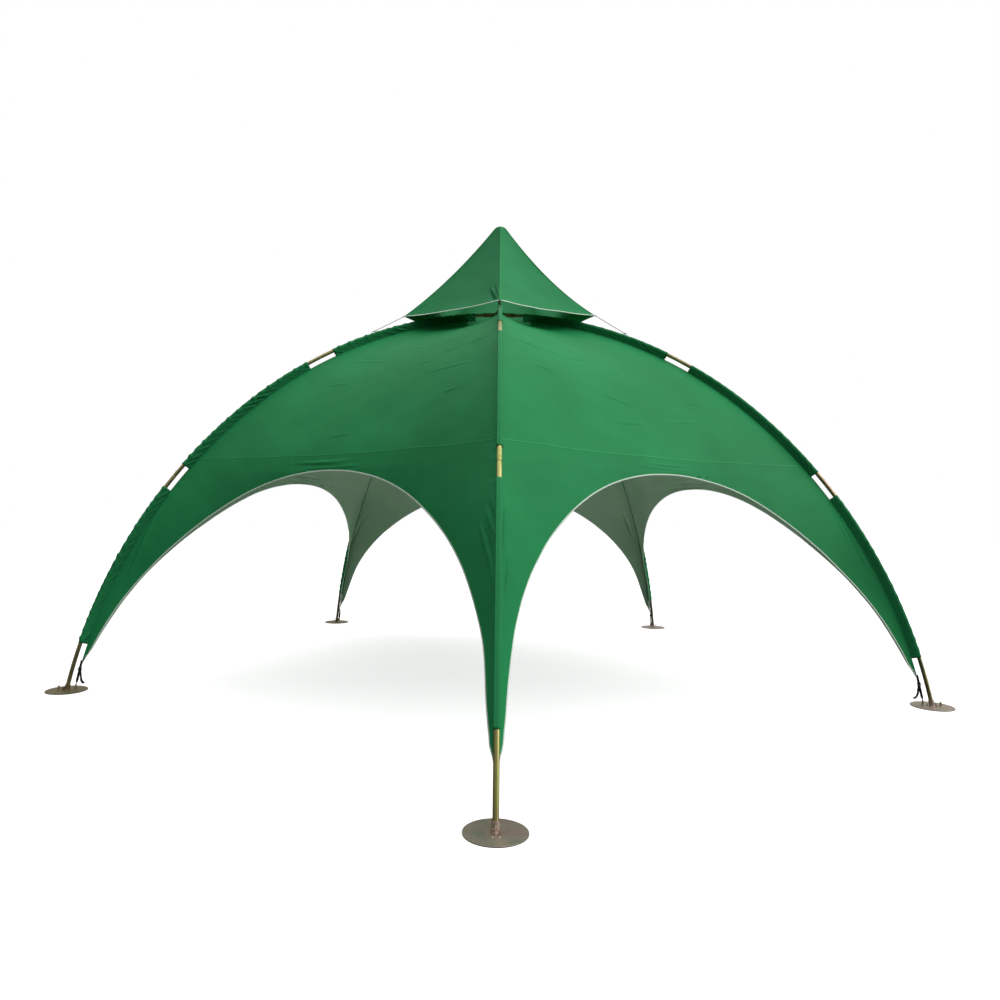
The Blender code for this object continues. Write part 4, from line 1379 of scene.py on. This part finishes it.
    def surface(self, rise: Array, share: Array, half: HalfPanel) -> tuple[Array, Array]:
        """Surface of one half panel with its folds, puckers and waves.

        Args:
            rise: As for place.
            share: As for place.
            half: Which half.

        Returns:
            Points and outward normals in the panel's own frame.
        """
        seed, side = half.seed, half.side
        across, height, from_fin = self.measure(rise, share, side)
        free = np.clip(from_fin / 0.12, 0, 1)
        lift = Ripple(seed, 0.5, 1.7, 0.0035).lift(across, height) * free
        lift += Ripple(seed + 20, 0.16, 0.45, 0.0011).lift(across, height) * free
        gather = Ripple(seed + 40 + (side > 0), 0.055, 0.14, 0.0016, lean=pi / 2, spread=0.7)
        lift += gather.lift(from_fin, height) * np.exp(-from_fin / 0.055) * np.clip(
            from_fin / 0.012, 0, 1)
        own = Datum.LAST_FIN if side > 0 else Datum.FIRST_FIN
        for crease in half.creases:
            if crease.datum in (Datum.MIDLINE, own):
                lift += crease.lift(from_fin if crease.datum is own else across, height)
        up, down = np.clip(rise + SLOPE_STEP, 0, 3), np.clip(rise - SLOPE_STEP, 0, 3)
        inner, outer = np.clip(share - SLOPE_STEP, 0, 1), np.clip(share + SLOPE_STEP, 0, 1)
        rising = self.place(up, share, side) - self.place(down, share, side)
        crossing = self.place(rise, outer, side) - self.place(rise, inner, side)
        normal = unit(np.cross(rising, crossing)) * side
        mid = (share >= 1 - 1e-6) & (rise >= 1 - 1e-6)
        normal = unit(np.where(mid[..., None], normal * (1.0, 0.0, 1.0), normal))
        return self.place(rise, share, side) + lift[..., None] * normal, normal

    def _half_grid(self) -> tuple[Array, Array]:
        """Rise and share of the grid points of one half."""
        rises = [np.linspace(low, high, rows, endpoint=False) for low, high, rows in (
            (0, 1, self.wing_rows), (1, 2, self.band_rows), (2, self.plain_rise, self.fold_rows))]
        shares = (np.arange(self.columns + 1) / self.columns) ** 1.2
        last = np.linspace(self.plain_rise, 3, self.plain_rows)
        return np.meshgrid(np.concatenate([*rises, last]), shares, indexing="ij")

    def _flange(self, points: Array, rise: Array, side: float) -> Array:
        """Seam allowance that turns down beside the fin."""
        plane = self.arch.normal(self._row_facts(rise[:, 0], np.zeros(len(rise)))[0])
        down = np.stack([plane[:, 0] * cos(HALF_STEP), side * plane[:, 0] * sin(HALF_STEP),
                         plane[:, 2]], -1)
        return (points[:, 0] - self.allowance * down)[:, None]

    def build(self) -> list[Thing]:
        """Make every panel with its binding and seams.

        Returns:
            The panels, bindings and seams.
        """
        rise, share = self._half_grid()
        pieces = []
        for index, name in enumerate(PANEL_NAMES):
            shell, grids = Shell(leg_heading(index) + HALF_STEP), []
            creases = self.creases(index)
            halves = [HalfPanel(side, 300 + index, creases) for side in (1.0, -1.0)]
            for half in halves:
                points, _ = self.surface(rise, share, half)
                points = np.concatenate([self._flange(points, rise, half.side), points], 1)
                across, height, _ = self.measure(rise, share, half.side)
                flat = np.stack([across, height], -1)
                edge = flat[:, :1] + (half.side * self.allowance, 0.0)
                grids.append(shell.grid(points, np.concatenate([edge, flat], 1),
                                        flip=half.side > 0))
            self._join(shell, *grids)
            panel = shell.to_object(f"canopy_{name}", "canopy_cloth",
                                    [Finish.CANOPY, Finish.COATING], f"canopy_panel_{name}")
            cloth = panel.modifiers.new("cloth", "SOLIDIFY")
            cloth.thickness, cloth.offset = self.cloth, -1.0
            cloth.material_offset, cloth.material_offset_rim = 1, 0
            trims = [self._binding(name, shell.heading, halves),
                     self._seams(name, shell.heading, halves)]
            pieces += [panel, *trims]
        return pieces

    def _join(self, shell: Shell, first: Array, second: Array) -> None:
        """Make the two halves share their points along the mid line above the doorway."""
        own = np.arange(shell.count)
        own[second[self.wing_rows:, -1]] = first[self.wing_rows:, -1]
        shell.quads[-1] = own[shell.quads[-1]]

    def _seams(self, name: str, heading: float, halves: Sequence[HalfPanel]) -> Thing:
        """Make the sewn seams of one panel.

        Args:
            name: Name of the panel.
            heading: Heading of its mid line.
            halves: Its two halves.

        Returns:
            The seams.
        """
        seams = Shell(heading)
        shares, rises = np.linspace(0.004, 1.0, 90), np.linspace(0.90, 1.97, 24)
        beside = self._share_at(rises, self.join_reach + 0.05 * np.clip(rises - 1, 0, 1))
        lines = ((np.full(90, 2.0), shares), (np.full(90, 2.985), shares), (rises, beside))
        for half in halves:
            for (rise, share), width in zip(lines, self.seam_widths):
                self._seam(seams, rise, share, half, width)
        return seams.to_object(f"seams_{name}", "canopy_cloth", [Finish.SEAM], sharp=SEAM_EDGE)

    def _share_at(self, rise: Array, reach: Array) -> Array:
        """Share at which a row is a given distance from the mid line."""
        angle, edge, _ = self._row_facts(rise, np.ones(len(rise)))
        half = self.arch.point(angle, -self.fin_depth)[..., 0] * sin(HALF_STEP)
        return np.clip((1 - reach / half) / (2 * edge), 0, 1)

    def _seam(self, shell: Shell, rise: Array, share: Array, half: HalfPanel,
              width: float) -> None:
        """Add a flat raised seam along a line on the panel.

        Args:
            shell: Mesh that it goes into.
            rise: Rise of each point of the line.
            share: Share of each point of the line.
            half: Which half.
            width: Width of the seam.
        """
        points, normals = self.surface(rise, share, half)
        beside = np.cross(normals, unit(np.gradient(points, axis=0)))
        side, thick = width / 2, self.seam_height
        profile = np.array(((side, -0.0004), (side - 0.0008, thick), (0.0, thick * 1.25),
                            (0.0008 - side, thick), (-side, -0.0004)))
        shell.solid(rings_along(points, beside, normals, profile))

    def _binding(self, name: str, heading: float, halves: Sequence[HalfPanel]) -> Thing:
        """Make the tape folded over the free edge of the doorway.

        Args:
            name: Name of the panel.
            heading: Heading of its mid line.
            halves: Its two halves.

        Returns:
            The binding.
        """
        right, left = (self.surface(np.linspace(0.0, 1.0, 150), np.ones(150), half)
                       for half in halves)
        edge, normal = (np.concatenate([first, second[-2::-1]])
                        for first, second in zip(right, left))
        tangents = unit(np.gradient(edge, axis=0))
        normal = square_to(normal, tangents)
        rings, measure = folded_tape(edge - normal * self.cloth / 2, np.cross(tangents, normal),
                                     normal, self.binding_width, self.cloth, self.tape)
        shell = Shell(heading)
        shell.solid(rings, measure=measure, flip=True)
        return shell.to_object(f"door_binding_{name}", "canopy_cloth", [Finish.BINDING])

    def creases(self, index: int) -> list[Crease]:
        """Fold lines of one panel: its own, and the wrinkles above each doorway.

        Args:
            index: Number of the panel.

        Returns:
            The fold lines.
        """
        draw = np.random.default_rng(500 + index)
        uniform = draw.uniform
        seen = self.seen_folds.get(PANEL_NAMES[index], {})
        folds = [Crease((x, y), (u, v), width / 1000, height / 1000, datum, sum(bow) / 1000)
                 for datum, rows in seen.items() for x, y, u, v, width, height, *bow in rows]
        for low, width in ((-0.020, 0.011), (-0.048, 0.013), (-0.080, 0.012)):
            start = (-self.join_reach + uniform(0.0, 0.25), low + uniform(-0.006, 0.006))
            end = (self.join_reach - uniform(0.0, 0.25), low + uniform(-0.006, 0.006))
            folds.append(Crease(start, end, width, uniform(0.0065, 0.0105),
                                bow=uniform(-0.006, 0.006)))
        if seen:
            return folds
        for _ in range(9):
            start = (uniform(-0.9, 0.9), uniform(0.2, 2.0))
            turn = draw.normal(0.0, 0.35) + (pi if draw.random() < 0.5 else 0.0)
            length = uniform(0.15, 0.5)
            end = (start[0] + length * cos(turn), start[1] + length * sin(turn))
            folds.append(Crease(start, end, uniform(0.014, 0.022), uniform(0.0025, 0.0055),
                                bow=uniform(-0.03, 0.03)))
        for datum in (Datum.FIRST_FIN, Datum.LAST_FIN):
            for _ in range(4):
                start = (uniform(0.05, 0.12), uniform(-0.75, -0.45))
                end = (start[0] - uniform(0.02, 0.05), start[1] - uniform(0.2, 0.5))
                folds.append(Crease(start, end, uniform(0.010, 0.016), uniform(0.004, 0.008),
                                    datum))
        return folds


@dataclass
class VentCap:
    """Five-sided peaked cap with hollow ridges, a bound lower edge and pleats at its corners."""

    peak_height: float = 4.668
    peak_radius: float = 0.046
    corner_reach: float = 1.02
    corner_height: float = 3.62
    # The ties pull each corner to its own height
    corner_lifts: tuple[float, ...] = (-0.030, 0.030, 0.006, 0.0, 0.004)
    # The left ridge hangs a little less
    ridge_sags: tuple[float, ...] = (0.08, 0.08, 0.08, 0.08, 0.06)
    edge_sag: float = 0.06
    cloth: float = 0.0012
    rows: int = 72
    columns: int = 56
    slope_length: float = 1.45
    binding_width: float = 0.012
    tape: float = 0.0011
    flat: tuple[float, float] = (2.10, 2.10)
    flat_area: float = 3.6
    # Two deep pleats run from the front corner up the front-left fifth
    front_pleats: tuple[Crease, ...] = (Crease((0.050, 1.42), (0.150, 1.10), 0.018, 0.0360),
                                        Crease((0.020, 1.43), (0.075, 1.05), 0.014, 0.0280))

    def place(self, fall: Array, part: Array, index: int) -> Array:
        """Points of one fifth of the cap whose mid line points along +X.

        Args:
            fall: 0 at the peak's rim and 1 at the lower edge.
            part: 0 at the anticlockwise ridge and 1 at the clockwise one.
            index: Number of the fifth.

        Returns:
            Points in the fifth's own frame.
        """
        reach = self.peak_radius + (self.corner_reach - self.peak_radius) * fall
        following = (index + 1) % len(LEG_NAMES)
        lift = (self.corner_lifts[following] * (1 - part)
                + self.corner_lifts[index] * part) * fall ** 2
        hang = self.ridge_sags[following] * (1 - part) + self.ridge_sags[index] * part
        height = (self.peak_height - self.cloth - (self.peak_height - self.corner_height) * fall
                  - hang * 4 * fall * (1 - fall) + lift)
        sag = self.edge_sag * fall * 4 * part * (1 - part)
        return np.stack([reach * cos(HALF_STEP) - sag, reach * sin(HALF_STEP) * (1 - 2 * part),
                         height], -1)

    def surface(self, fall: Array, part: Array, index: int) -> tuple[Array, Array]:
        """Finished surface of one fifth.

        Args:
            fall: As for place.
            part: As for place.
            index: Number of the fifth.

        Returns:
            Points and outward normals in the fifth's own frame.
        """
        upper, lower = np.clip(fall - SLOPE_STEP, 0, 1), np.clip(fall + SLOPE_STEP, 0, 1)
        first, last = np.clip(part - SLOPE_STEP, 0, 1), np.clip(part + SLOPE_STEP, 0, 1)
        down = self.place(lower, part, index) - self.place(upper, part, index)
        across = self.place(fall, last, index) - self.place(fall, first, index)
        normal = unit(np.cross(down, across))
        points = self.place(fall, part, index)
        reach = self.peak_radius + (self.corner_reach - self.peak_radius) * fall
        from_ridge = reach * sin(HALF_STEP) - np.abs(points[..., 1])
        along = fall * self.slope_length
        away = np.clip(np.minimum(part, 1 - part) * 12, 0, 1)
        lift = Ripple(700 + index, 0.3, 0.9, 0.0028).lift(points[..., 1], along) * away
        draw = np.random.default_rng(720 + index)
        for sign in (1, -1):
            pleats = []
            for _ in range(3):
                start = (draw.uniform(0.02, 0.05), 1.40)
                end = (start[0] + draw.uniform(0.08, 0.20), 1.40 - draw.uniform(0.12, 0.30))
                pleats.append(Crease(start, end, draw.uniform(0.010, 0.018),
                                     draw.uniform(0.0015, 0.0035)))
            if index == len(LEG_NAMES) - 1 and sign > 0:
                pleats += self.front_pleats
            gap = np.where(points[..., 1] * sign > 0, from_ridge, 9.0)
            for pleat in pleats:
                lift = lift + pleat.lift(gap, along) * away ** 0.5
        return points + lift[..., None] * normal, normal

    def build(self) -> list[Thing]:
        """Make the cap with its binding and ridge seams.

        Returns:
            The cap, its binding and its seams.
        """
        falls = np.linspace(0, 1, self.rows + 1)
        steps = np.arange(self.columns) / self.columns
        # Columns stand closer beside the ridges, where the pleats are
        fall, part = np.meshgrid(falls, steps - 0.5 * np.sin(tau * steps) / tau, indexing="ij")
        around = np.concatenate([
            turned(self.surface(fall, part, index)[0], leg_heading(index) + HALF_STEP)
            for index in reversed(range(len(LEG_NAMES)))], 1)
        centre = np.array((0.0, HUB_SETBACK, self.peak_height - self.cloth * 0.5))
        tops = np.stack([centre + (around[0] - centre) * share for share in (0.25, 0.6, 0.93)])
        tops[..., 2] = centre[2] + 0.0006
        rings = np.concatenate([tops, around])
        flat = np.stack(np.meshgrid(
            np.arange(rings.shape[1] + 1) * 0.03,
            np.concatenate([[0.0, 0.03, 0.05], 0.06 + falls * self.slope_length])), -1)
        shell = Shell(None)
        shell.ends.append(shell.grid(rings, flat, around=True)[0].tolist()[::-1])
        cap = shell.to_object("peaked_cap", "cap_cloth", [Finish.CAP, Finish.CAP_INSIDE],
                              "vent_cap")
        cloth = cap.modifiers.new("cloth", "SOLIDIFY")
        cloth.thickness, cloth.offset, cloth.material_offset = self.cloth, -1.0, 1
        trims = [self._binding(), self._ridges()]
        return [cap, *trims]

    def _binding(self) -> Thing:
        """Make the pale tape folded over the lower edge."""
        count, lines = 48, []
        parts = np.arange(count) / count
        for index in reversed(range(len(LEG_NAMES))):
            edge, normal = self.surface(np.ones(count), parts, index)
            inner, _ = self.surface(np.full(count, 0.985), parts, index)
            lines.append([turned(line, leg_heading(index) + HALF_STEP)
                          for line in (edge, normal, inner, np.zeros((count, 3)))])
        edge, normal, inner, middle = (np.concatenate(line) for line in zip(*lines))
        tangents, normal, inward = ring_tangents(edge), normal - middle, inner - edge
        normal = square_to(unit(normal + np.roll(normal, 1, 0) + np.roll(normal, -1, 0)), tangents)
        inward = square_to(inward - (inward * normal).sum(-1, keepdims=True) * normal, tangents)
        rings, measure = folded_tape(edge - normal * self.cloth / 2, inward, normal,
                                     self.binding_width, self.cloth, self.tape)
        shell = Shell(None)
        last = 2 * measure[-1:] - measure[-2:-1]
        shell.grid(rings, np.concatenate([measure, last]), around=True, along=True)
        return shell.to_object("cap_binding", "cap_cloth", [Finish.BINDING])

    def _ridges(self) -> Thing:
        """Make the raised seam along each ridge."""
        shell, falls = Shell(), np.linspace(0.01, 0.985, 60)
        profile = np.array(((0.0085, -0.0040), (0.0055, 0.0014), (0.0, 0.0034),
                            (-0.0055, 0.0014), (-0.0085, -0.0040)))
        for index in range(len(LEG_NAMES)):
            shell.heading = leg_heading(index)
            points = self.place(falls, np.ones(60), index)
            line = np.stack([np.hypot(points[:, 0], points[:, 1]), np.zeros(60), points[:, 2]], -1)
            sideways, outward = path_frame(line, SIDE)
            outward = np.where(outward[:, 2:] > 0, outward, -outward)
            shell.solid(rings_along(line, sideways, outward, profile))
        return shell.to_object("cap_ridge_seams", "cap_cloth", [Finish.SEAM])


# Ties and straps

@dataclass
class CapTies:
    """Taut two-ply tie from each cap corner to a loop on the sleeve, knotted at each end."""

    arch: ArchLine
    cap: VentCap
    strand: float = 0.0017
    lay: float = 0.026
    # The front loop is sewn on lower down
    loop_angles: tuple[float, ...] = (radians(65.3), *[radians(67.2)] * 4)
    sleeve_radius: float = 0.0205
    tail_leans: tuple[float, ...] = (0.3, -0.4, 0.5, -0.2, 0.45)

    def build(self) -> list[Thing]:
        """Make the five ties.

        Returns:
            The ties and their loops.
        """
        ties = []
        for index, leg in enumerate(LEG_NAMES):
            foot = self.arch.point(self.loop_angles[index], self.sleeve_radius + 0.010)
            corner = np.array((self.cap.corner_reach + 0.003, 0.0, self.cap.corner_height
                               + self.cap.corner_lifts[index] - 0.002))
            cords, loop = Shell(leg_heading(index)), Shell(leg_heading(index))
            self._strands(cords, corner, foot)
            self._knot(cords, corner, foot - corner, 0.0058)
            self._knot(cords, foot, foot - corner, 0.0068)
            self._tail(cords, foot, index)
            self._loop(loop, self.loop_angles[index])
            ties += [cords.to_object(f"cap_tie_cord_{leg}", "tie_cord", [Finish.CORD],
                                     f"cap_tie_{leg}"),
                     loop.to_object(f"tie_loop_{leg}", "sleeve_cloth", [Finish.BINDING])]
        return ties

    def _strands(self, shell: Shell, corner: Array, foot: Array) -> None:
        """Add two strands twisted round each other."""
        share = np.linspace(0, 1, 110)
        line = corner + (foot - corner) * share[:, None]
        outward = np.cross(SIDE, unit(foot - corner))
        for phase in (0.0, pi):
            turn = share * float(np.linalg.norm(foot - corner)) / self.lay * tau + phase
            helix = line + self.strand * (np.cos(turn)[:, None] * SIDE
                                          + np.sin(turn)[:, None] * outward)
            shell.solid(rings_along(helix, *path_frame(helix, SIDE), circle(self.strand, 8)))

    def _knot(self, shell: Shell, place: Array, along: Array, size: float) -> None:
        """Add an overhand knot as a short closed trefoil of cord."""
        turns = tau * np.arange(48)[:, None] / 48
        along = unit(along)
        points = place + size / 3 * (
            (np.sin(turns) + 2 * np.sin(2 * turns)) * SIDE
            + (np.cos(turns) - 2 * np.cos(2 * turns)) * np.cross(SIDE, along)
            + 1.3 * -np.sin(3 * turns) * along)
        tangents = ring_tangents(points)
        sideways = unit(np.cross(tangents, along + 0.01))
        shell.grid(rings_along(points, sideways, np.cross(tangents, sideways),
                               circle(self.strand * 1.25, 8)), around=True, along=True)

    def _tail(self, shell: Shell, foot: Array, index: int) -> None:
        """Add the short loose end below the knot."""
        lean = self.tail_leans[index]
        line = smooth_path([foot, foot + (0.010, 0.006 * lean, 0.002),
                            foot + (0.022, 0.014 * lean, -0.008),
                            foot + (0.030, 0.020 * lean, -0.022)], 6)
        shell.solid(rings_along(line, *path_frame(line, SIDE), circle(self.strand, 8)))

    def _loop(self, shell: Shell, angle: float) -> None:
        """Add the small standing loop of tape that is sewn to the sleeve."""
        centre = self.arch.point(angle, self.sleeve_radius + 0.002)
        normal = self.arch.normal(angle)
        shape = ((-0.016, -0.0016), (-0.010, 0.001), (-0.007, 0.008), (0.0, 0.0125),
                 (0.007, 0.008), (0.010, 0.001), (0.016, -0.0016))
        line = smooth_path([centre + a * np.cross(SIDE, normal) + b * normal for a, b in shape], 5)
        profile = rounded_box(0.014, 0.0014, 0.0005)
        shell.solid(rings_along(line, *path_frame(line, SIDE), profile),
                    measure=tape_measure(profile, line))


@dataclass
class CornerStraps:
    """Webbing strap from each canopy tip to its base plate, with a buckle and a loose tail."""

    arch: ArchLine
    fin_depth: float = 0.0575
    tip_angle: float = radians(14.3)
    width: float = 0.020
    thickness: float = 0.0016
    eye_reach: float = -0.073
    eye_height: float = 0.044
    eye_bar: float = 0.004
    buckle_height: float = 0.185
    # The twist reaches the eye's direction at this share of the strap
    twist_end: float = 0.94
    # How far each tail leans aside, curls inward and turns
    tails: tuple[tuple[float, float, float], ...] = (
        (0.12, 0.9, 0.7), (0.30, 0.95, 0.35), (-0.2, 1.0, 0.8), (0.25, 0.8, 0.6),
        (-0.22, 0.8, 0.9))

    @property
    def tip(self) -> Array:
        """Point where the strap leaves the canopy."""
        return self.arch.point(self.tip_angle, -self.fin_depth) + (-0.002, 0.0, 0.012)

    @property
    def eye(self) -> Array:
        """Point of the eye that the strap goes round."""
        return np.array((LEG_CIRCLE + self.eye_reach, 0.0, self.eye_height))

    @property
    def buckle_share(self) -> float:
        """Place of the buckle along the strap."""
        return float((self.tip[2] - self.buckle_height) / (self.tip[2] - self.eye[2]))

    def build(self) -> list[Thing]:
        """Make the five straps.

        Returns:
            The straps and their buckles.
        """
        pieces = []
        for index, leg in enumerate(LEG_NAMES):
            webbing, buckle = Shell(leg_heading(index)), Shell(leg_heading(index))
            self._band(webbing)
            self._tail(webbing, index)
            self._buckle(buckle)
            pieces += [webbing.to_object(f"strap_webbing_{leg}", "strap_webbing",
                                         [Finish.WEBBING], f"corner_strap_{leg}", FOLD_EDGE),
                       buckle.to_object(f"strap_buckle_{leg}", "strap_webbing",
                                        [Finish.BUCKLE], sharp=METAL_EDGE)]
        return pieces

    def _ribbon(self, shell: Shell, line: Array, across: Array) -> None:
        """Add flat webbing along a line, its width in a given direction at each point."""
        profile = rounded_box(self.width, self.thickness, 0.0006)
        shell.solid(rings_along(line, *path_frame(line, across), profile),
                    measure=tape_measure(profile, line))

    def _band(self, shell: Shell) -> None:
        """Add both runs of the strap: down to the eye, round its bar and up again."""
        tip, eye, gap = self.tip, self.eye, 0.0017
        along = unit(eye - tip)
        out = np.cross(SIDE, along)
        out = out if out[0] > 0 else -out
        turn_radius = self.eye_bar + self.thickness * 0.8
        levels = np.linspace(0.0, self.twist_end, 26)
        ways = [self._twist(level, out) for level in levels]
        down, rise = ([tip + level * (eye - tip) + face * gap * (0.3 + level) * beside
                       for level, (_, beside) in zip(levels, ways)] for face in (1, -1))
        loop = [eye + turn_radius * (cos(turn) * out + sin(turn) * along)
                for turn in np.linspace(0, pi, 13)]
        widths = [across for across, _ in ways]
        self._ribbon(shell, np.array(down + loop + rise[::-1]),
                     np.array(widths + [SIDE] * len(loop) + widths[::-1]))

    def _twist(self, level: float, out: Array) -> tuple[Array, Array]:
        """Directions of the strap, which twists between its buckle and the eye.

        Args:
            level: Place along the strap.
            out: Outward direction square to the strap.

        Returns:
            Direction of its width and of its face.
        """
        start = self.buckle_share + 0.78 * (self.twist_end - self.buckle_share)
        climb = min(1.0, max(0.0, (level - start) / (self.twist_end - start)))
        turn = pi / 2 * (1 - climb * climb * (3 - 2 * climb))
        return cos(turn) * SIDE - sin(turn) * out, cos(turn) * out + sin(turn) * SIDE

    def _tail(self, shell: Shell, index: int) -> None:
        """Add the loose tail that leaves the buckle and curls inward."""
        start = self.tip + (self.eye - self.tip) * self.buckle_share + (0.0, -0.0042, 0.0)
        lean, curl, twisted = self.tails[index]
        line = smooth_path([start + step for step in (
            (0.0, 0.0, 0.018), (-0.002, 0.0, -0.016), (-0.006, 0.010 * lean, -0.045),
            (-0.009, 0.03 * lean, -0.083), (-0.018 * curl, 0.06 * lean, -0.112),
            (-0.040 * curl, 0.08 * lean, -0.132))], 8)
        twist = (pi / 2 - twisted * np.sin(np.linspace(0, pi, len(line))))[:, None]
        self._ribbon(shell, line, np.cos(twist) * SIDE + np.sin(twist) * FORWARD)

    def _buckle(self, shell: Shell) -> None:
        """Add a ladder buckle: a rounded frame with two cross bars."""
        along = unit(self.eye - self.tip)
        out = np.cross(SIDE, along)
        centre = self.tip + (self.eye - self.tip) * self.buckle_share
        half_width, half_height = 0.0148, 0.0135
        frame = rounded_box(2 * half_width, 2 * half_height, 0.004, 4)
        line = centre + frame[:, :1] * out + frame[:, 1:] * along
        shell.grid(rings_along(line, SIDE, np.cross(ring_tangents(line), SIDE),
                               rounded_box(0.0062, 0.0036, 0.0011)), around=True, along=True)
        for place, lift in ((-0.004, 0.0028), (0.005, -0.0028)):
            bar = np.array([centre + place * along + lift * SIDE + side * half_width * out
                            for side in (-1, -0.5, 0.0, 0.5, 1)])
            shell.solid(rings_along(bar, *path_frame(bar, SIDE),
                                    rounded_box(0.0030, 0.0042, 0.0010)))


# Studio

@dataclass
class Studio:
    """Pale floor, soft key light from the upper right, dim card under the tent and the camera."""

    floor_radius: float = 80.0
    key_direction: tuple[float, float, float] = (0.886, -0.188, 0.423)
    key_strength: float = 2.33
    key_angle: float = radians(60)
    card_size: float = 6.5
    card_power: float = 84.0
    vent_height: float = 3.72
    vent_size: float = 1.2
    vent_power: float = 2.7
    zenith: float = 1.88
    horizon: float = 0.285
    ground: float = 0.02
    # How much brighter the right of the sky is than its middle, and darker the left
    slant: float = 0.12
    # Camera as fitted to the photograph: place in metres, focal length and middle in pixels
    camera_place: tuple[float, float, float] = (-0.032, -7.363, 1.585)
    camera_yaw: float = radians(-1.07)
    camera_pitch: float = radians(1.39)
    camera_roll: float = radians(0.81)
    focal_pixels: float = 735.7
    picture_pixels: float = 1000.0
    middle_pixel: float = 480.0
    sensor: float = 36.0

    def build(self) -> None:
        """Make the floor, the lights and the camera."""
        self._floor()
        self._world()
        self._key()
        self._card("bounce_card", 0.01, self.card_size, self.card_power)
        self._card("vent_card", self.vent_height, self.vent_size, self.vent_power)
        self._camera()
        view = bpy.context.scene.view_settings
        view.view_transform, view.look = "Standard", "None"

    def _floor(self) -> None:
        """Make the floor, which casts no light back so that the legs keep their shade."""
        levels = (0.01, 2.0, 5.0, 10.0, 25.0, self.floor_radius)
        rings = np.stack([np.concatenate([circle(level, 96), np.full((96, 1), -0.001)], 1)
                          for level in levels])
        mesh, shell = bpy.data.meshes.new("studio_floor"), Shell(None)
        shell.grid(rings, around=True)
        quads = np.concatenate(shell.quads).tolist()
        mesh.from_pydata(rings.reshape(-1, 3).tolist(), [], quads + [list(range(96))[::-1]])
        mesh.materials.append(StudioPaint("matt_floor_paint", "#c8c8c8", 0.60).make())
        floor = linked("studio_floor", mesh)
        floor.visible_diffuse = floor.visible_glossy = False

    def _world(self) -> None:
        """Make a white surround that lights from above more than from the sides."""
        world = bpy.data.worlds.new("studio_surround")
        bpy.context.scene.world = world
        graph, white = Recipe(world), (1.0, 1.0, 1.0, 1.0)
        place = graph.add("ShaderNodeTexCoord").outputs["Generated"]
        aside, _, height = graph.add("ShaderNodeSeparateXYZ", {0: place}).outputs
        slope = graph.add("ShaderNodeMath", {
            0: aside, 1: self.slant, 2: 1.0}, operation="MULTIPLY_ADD")
        square = graph.add("ShaderNodeMath", {0: height, 1: height}, operation="MULTIPLY")
        sky = graph.add("ShaderNodeMapRange", {
            "Value": square, "To Min": self.horizon, "To Max": self.zenith})
        low = graph.add("ShaderNodeMapRange", {
            "Value": height, "From Min": -0.10, "From Max": 0.0, "To Min": self.ground,
            "To Max": 1.0})
        level = graph.add("ShaderNodeMath", {0: sky, 1: low}, operation="MULTIPLY")
        strength = graph.add("ShaderNodeMath", {0: level, 1: slope}, operation="MULTIPLY")
        light = graph.add("ShaderNodeBackground", {"Color": white, "Strength": strength})
        blank = graph.add("ShaderNodeBackground", {"Color": white, "Strength": 1.0})
        rays = graph.add("ShaderNodeLightPath")
        mix = graph.add("ShaderNodeMixShader", {
            0: rays.outputs["Is Camera Ray"], 1: light, 2: blank})
        graph.add("ShaderNodeOutputWorld", {"Surface": mix})

    def _key(self) -> None:
        """Make the soft key light."""
        lamp = bpy.data.lights.new("key_light", "SUN")
        lamp.energy, lamp.angle = self.key_strength, self.key_angle
        light = linked("key_light", lamp)
        light.rotation_mode = "QUATERNION"
        light.rotation_quaternion = Vector(self.key_direction).to_track_quat("Z", "Y")
        light.location = Vector(self.key_direction) * 12.0

    def _card(self, name: str, height: float, size: float, power: float) -> None:
        """Make a dim round card that lights the inside from below.

        Args:
            name: Name of the card.
            height: Height above the ground.
            size: Diameter.
            power: Power in watts.
        """
        lamp = bpy.data.lights.new(name, "AREA")
        lamp.shape, lamp.size, lamp.energy = "DISK", size, power
        card = linked(name, lamp)
        card.location = (0.0, HUB_SETBACK, height)
        card.rotation_euler = (pi, 0.0, 0.0)
        card.visible_camera = card.visible_glossy = False

    def _camera(self) -> None:
        """Make the camera at the photograph's own place and angle."""
        yaw, pitch, roll = self.camera_yaw, self.camera_pitch, self.camera_roll
        forward = Vector((sin(yaw) * cos(pitch), cos(yaw) * cos(pitch), sin(pitch)))
        level = Vector((cos(yaw), -sin(yaw), 0.0))
        upright = level.cross(forward)
        right = level * cos(roll) + upright * sin(roll)
        top = upright * cos(roll) - level * sin(roll)
        lens = bpy.data.cameras.new("camera")
        lens.sensor_width = self.sensor
        lens.lens = self.sensor * self.focal_pixels / self.picture_pixels
        lens.shift_x = (self.picture_pixels / 2 - self.middle_pixel) / self.picture_pixels
        lens.clip_end = 400.0
        camera = linked("camera", lens)
        turn = Matrix((right, top, -forward)).transposed()
        camera.matrix_world = Matrix.Translation(self.camera_place) @ turn.to_4x4()
        bpy.context.scene.camera = camera


def clear_scene() -> None:
    """Remove every object that the scene starts with."""
    for thing in list(bpy.data.objects):
        bpy.data.objects.remove(thing, do_unlink=True)


def corners(bounds: tuple[Vector, Vector]) -> list[list[float]]:
    """Lowest and highest corner as plain lists."""
    return [[float(value) for value in corner] for corner in bounds]


def main() -> None:
    """Build the tent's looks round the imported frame."""
    logging.basicConfig(level=logging.INFO, format="%(name)s: %(message)s")
    clear_scene()
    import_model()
    arch, cap = ArchLine(), VentCap()
    Studio().build()
    for part in (Poles(arch), Hub(arch), Mast(arch, cap), Feet(arch), ArchSleeves(arch),
                 CanopyPanels(arch), cap, CapTies(arch, cap), CornerStraps(arch)):
        for piece in part.build():
            LOG.info("%s: %d faces", piece.name, len(piece.data.polygons))


if __name__ == "__main__":
    main()
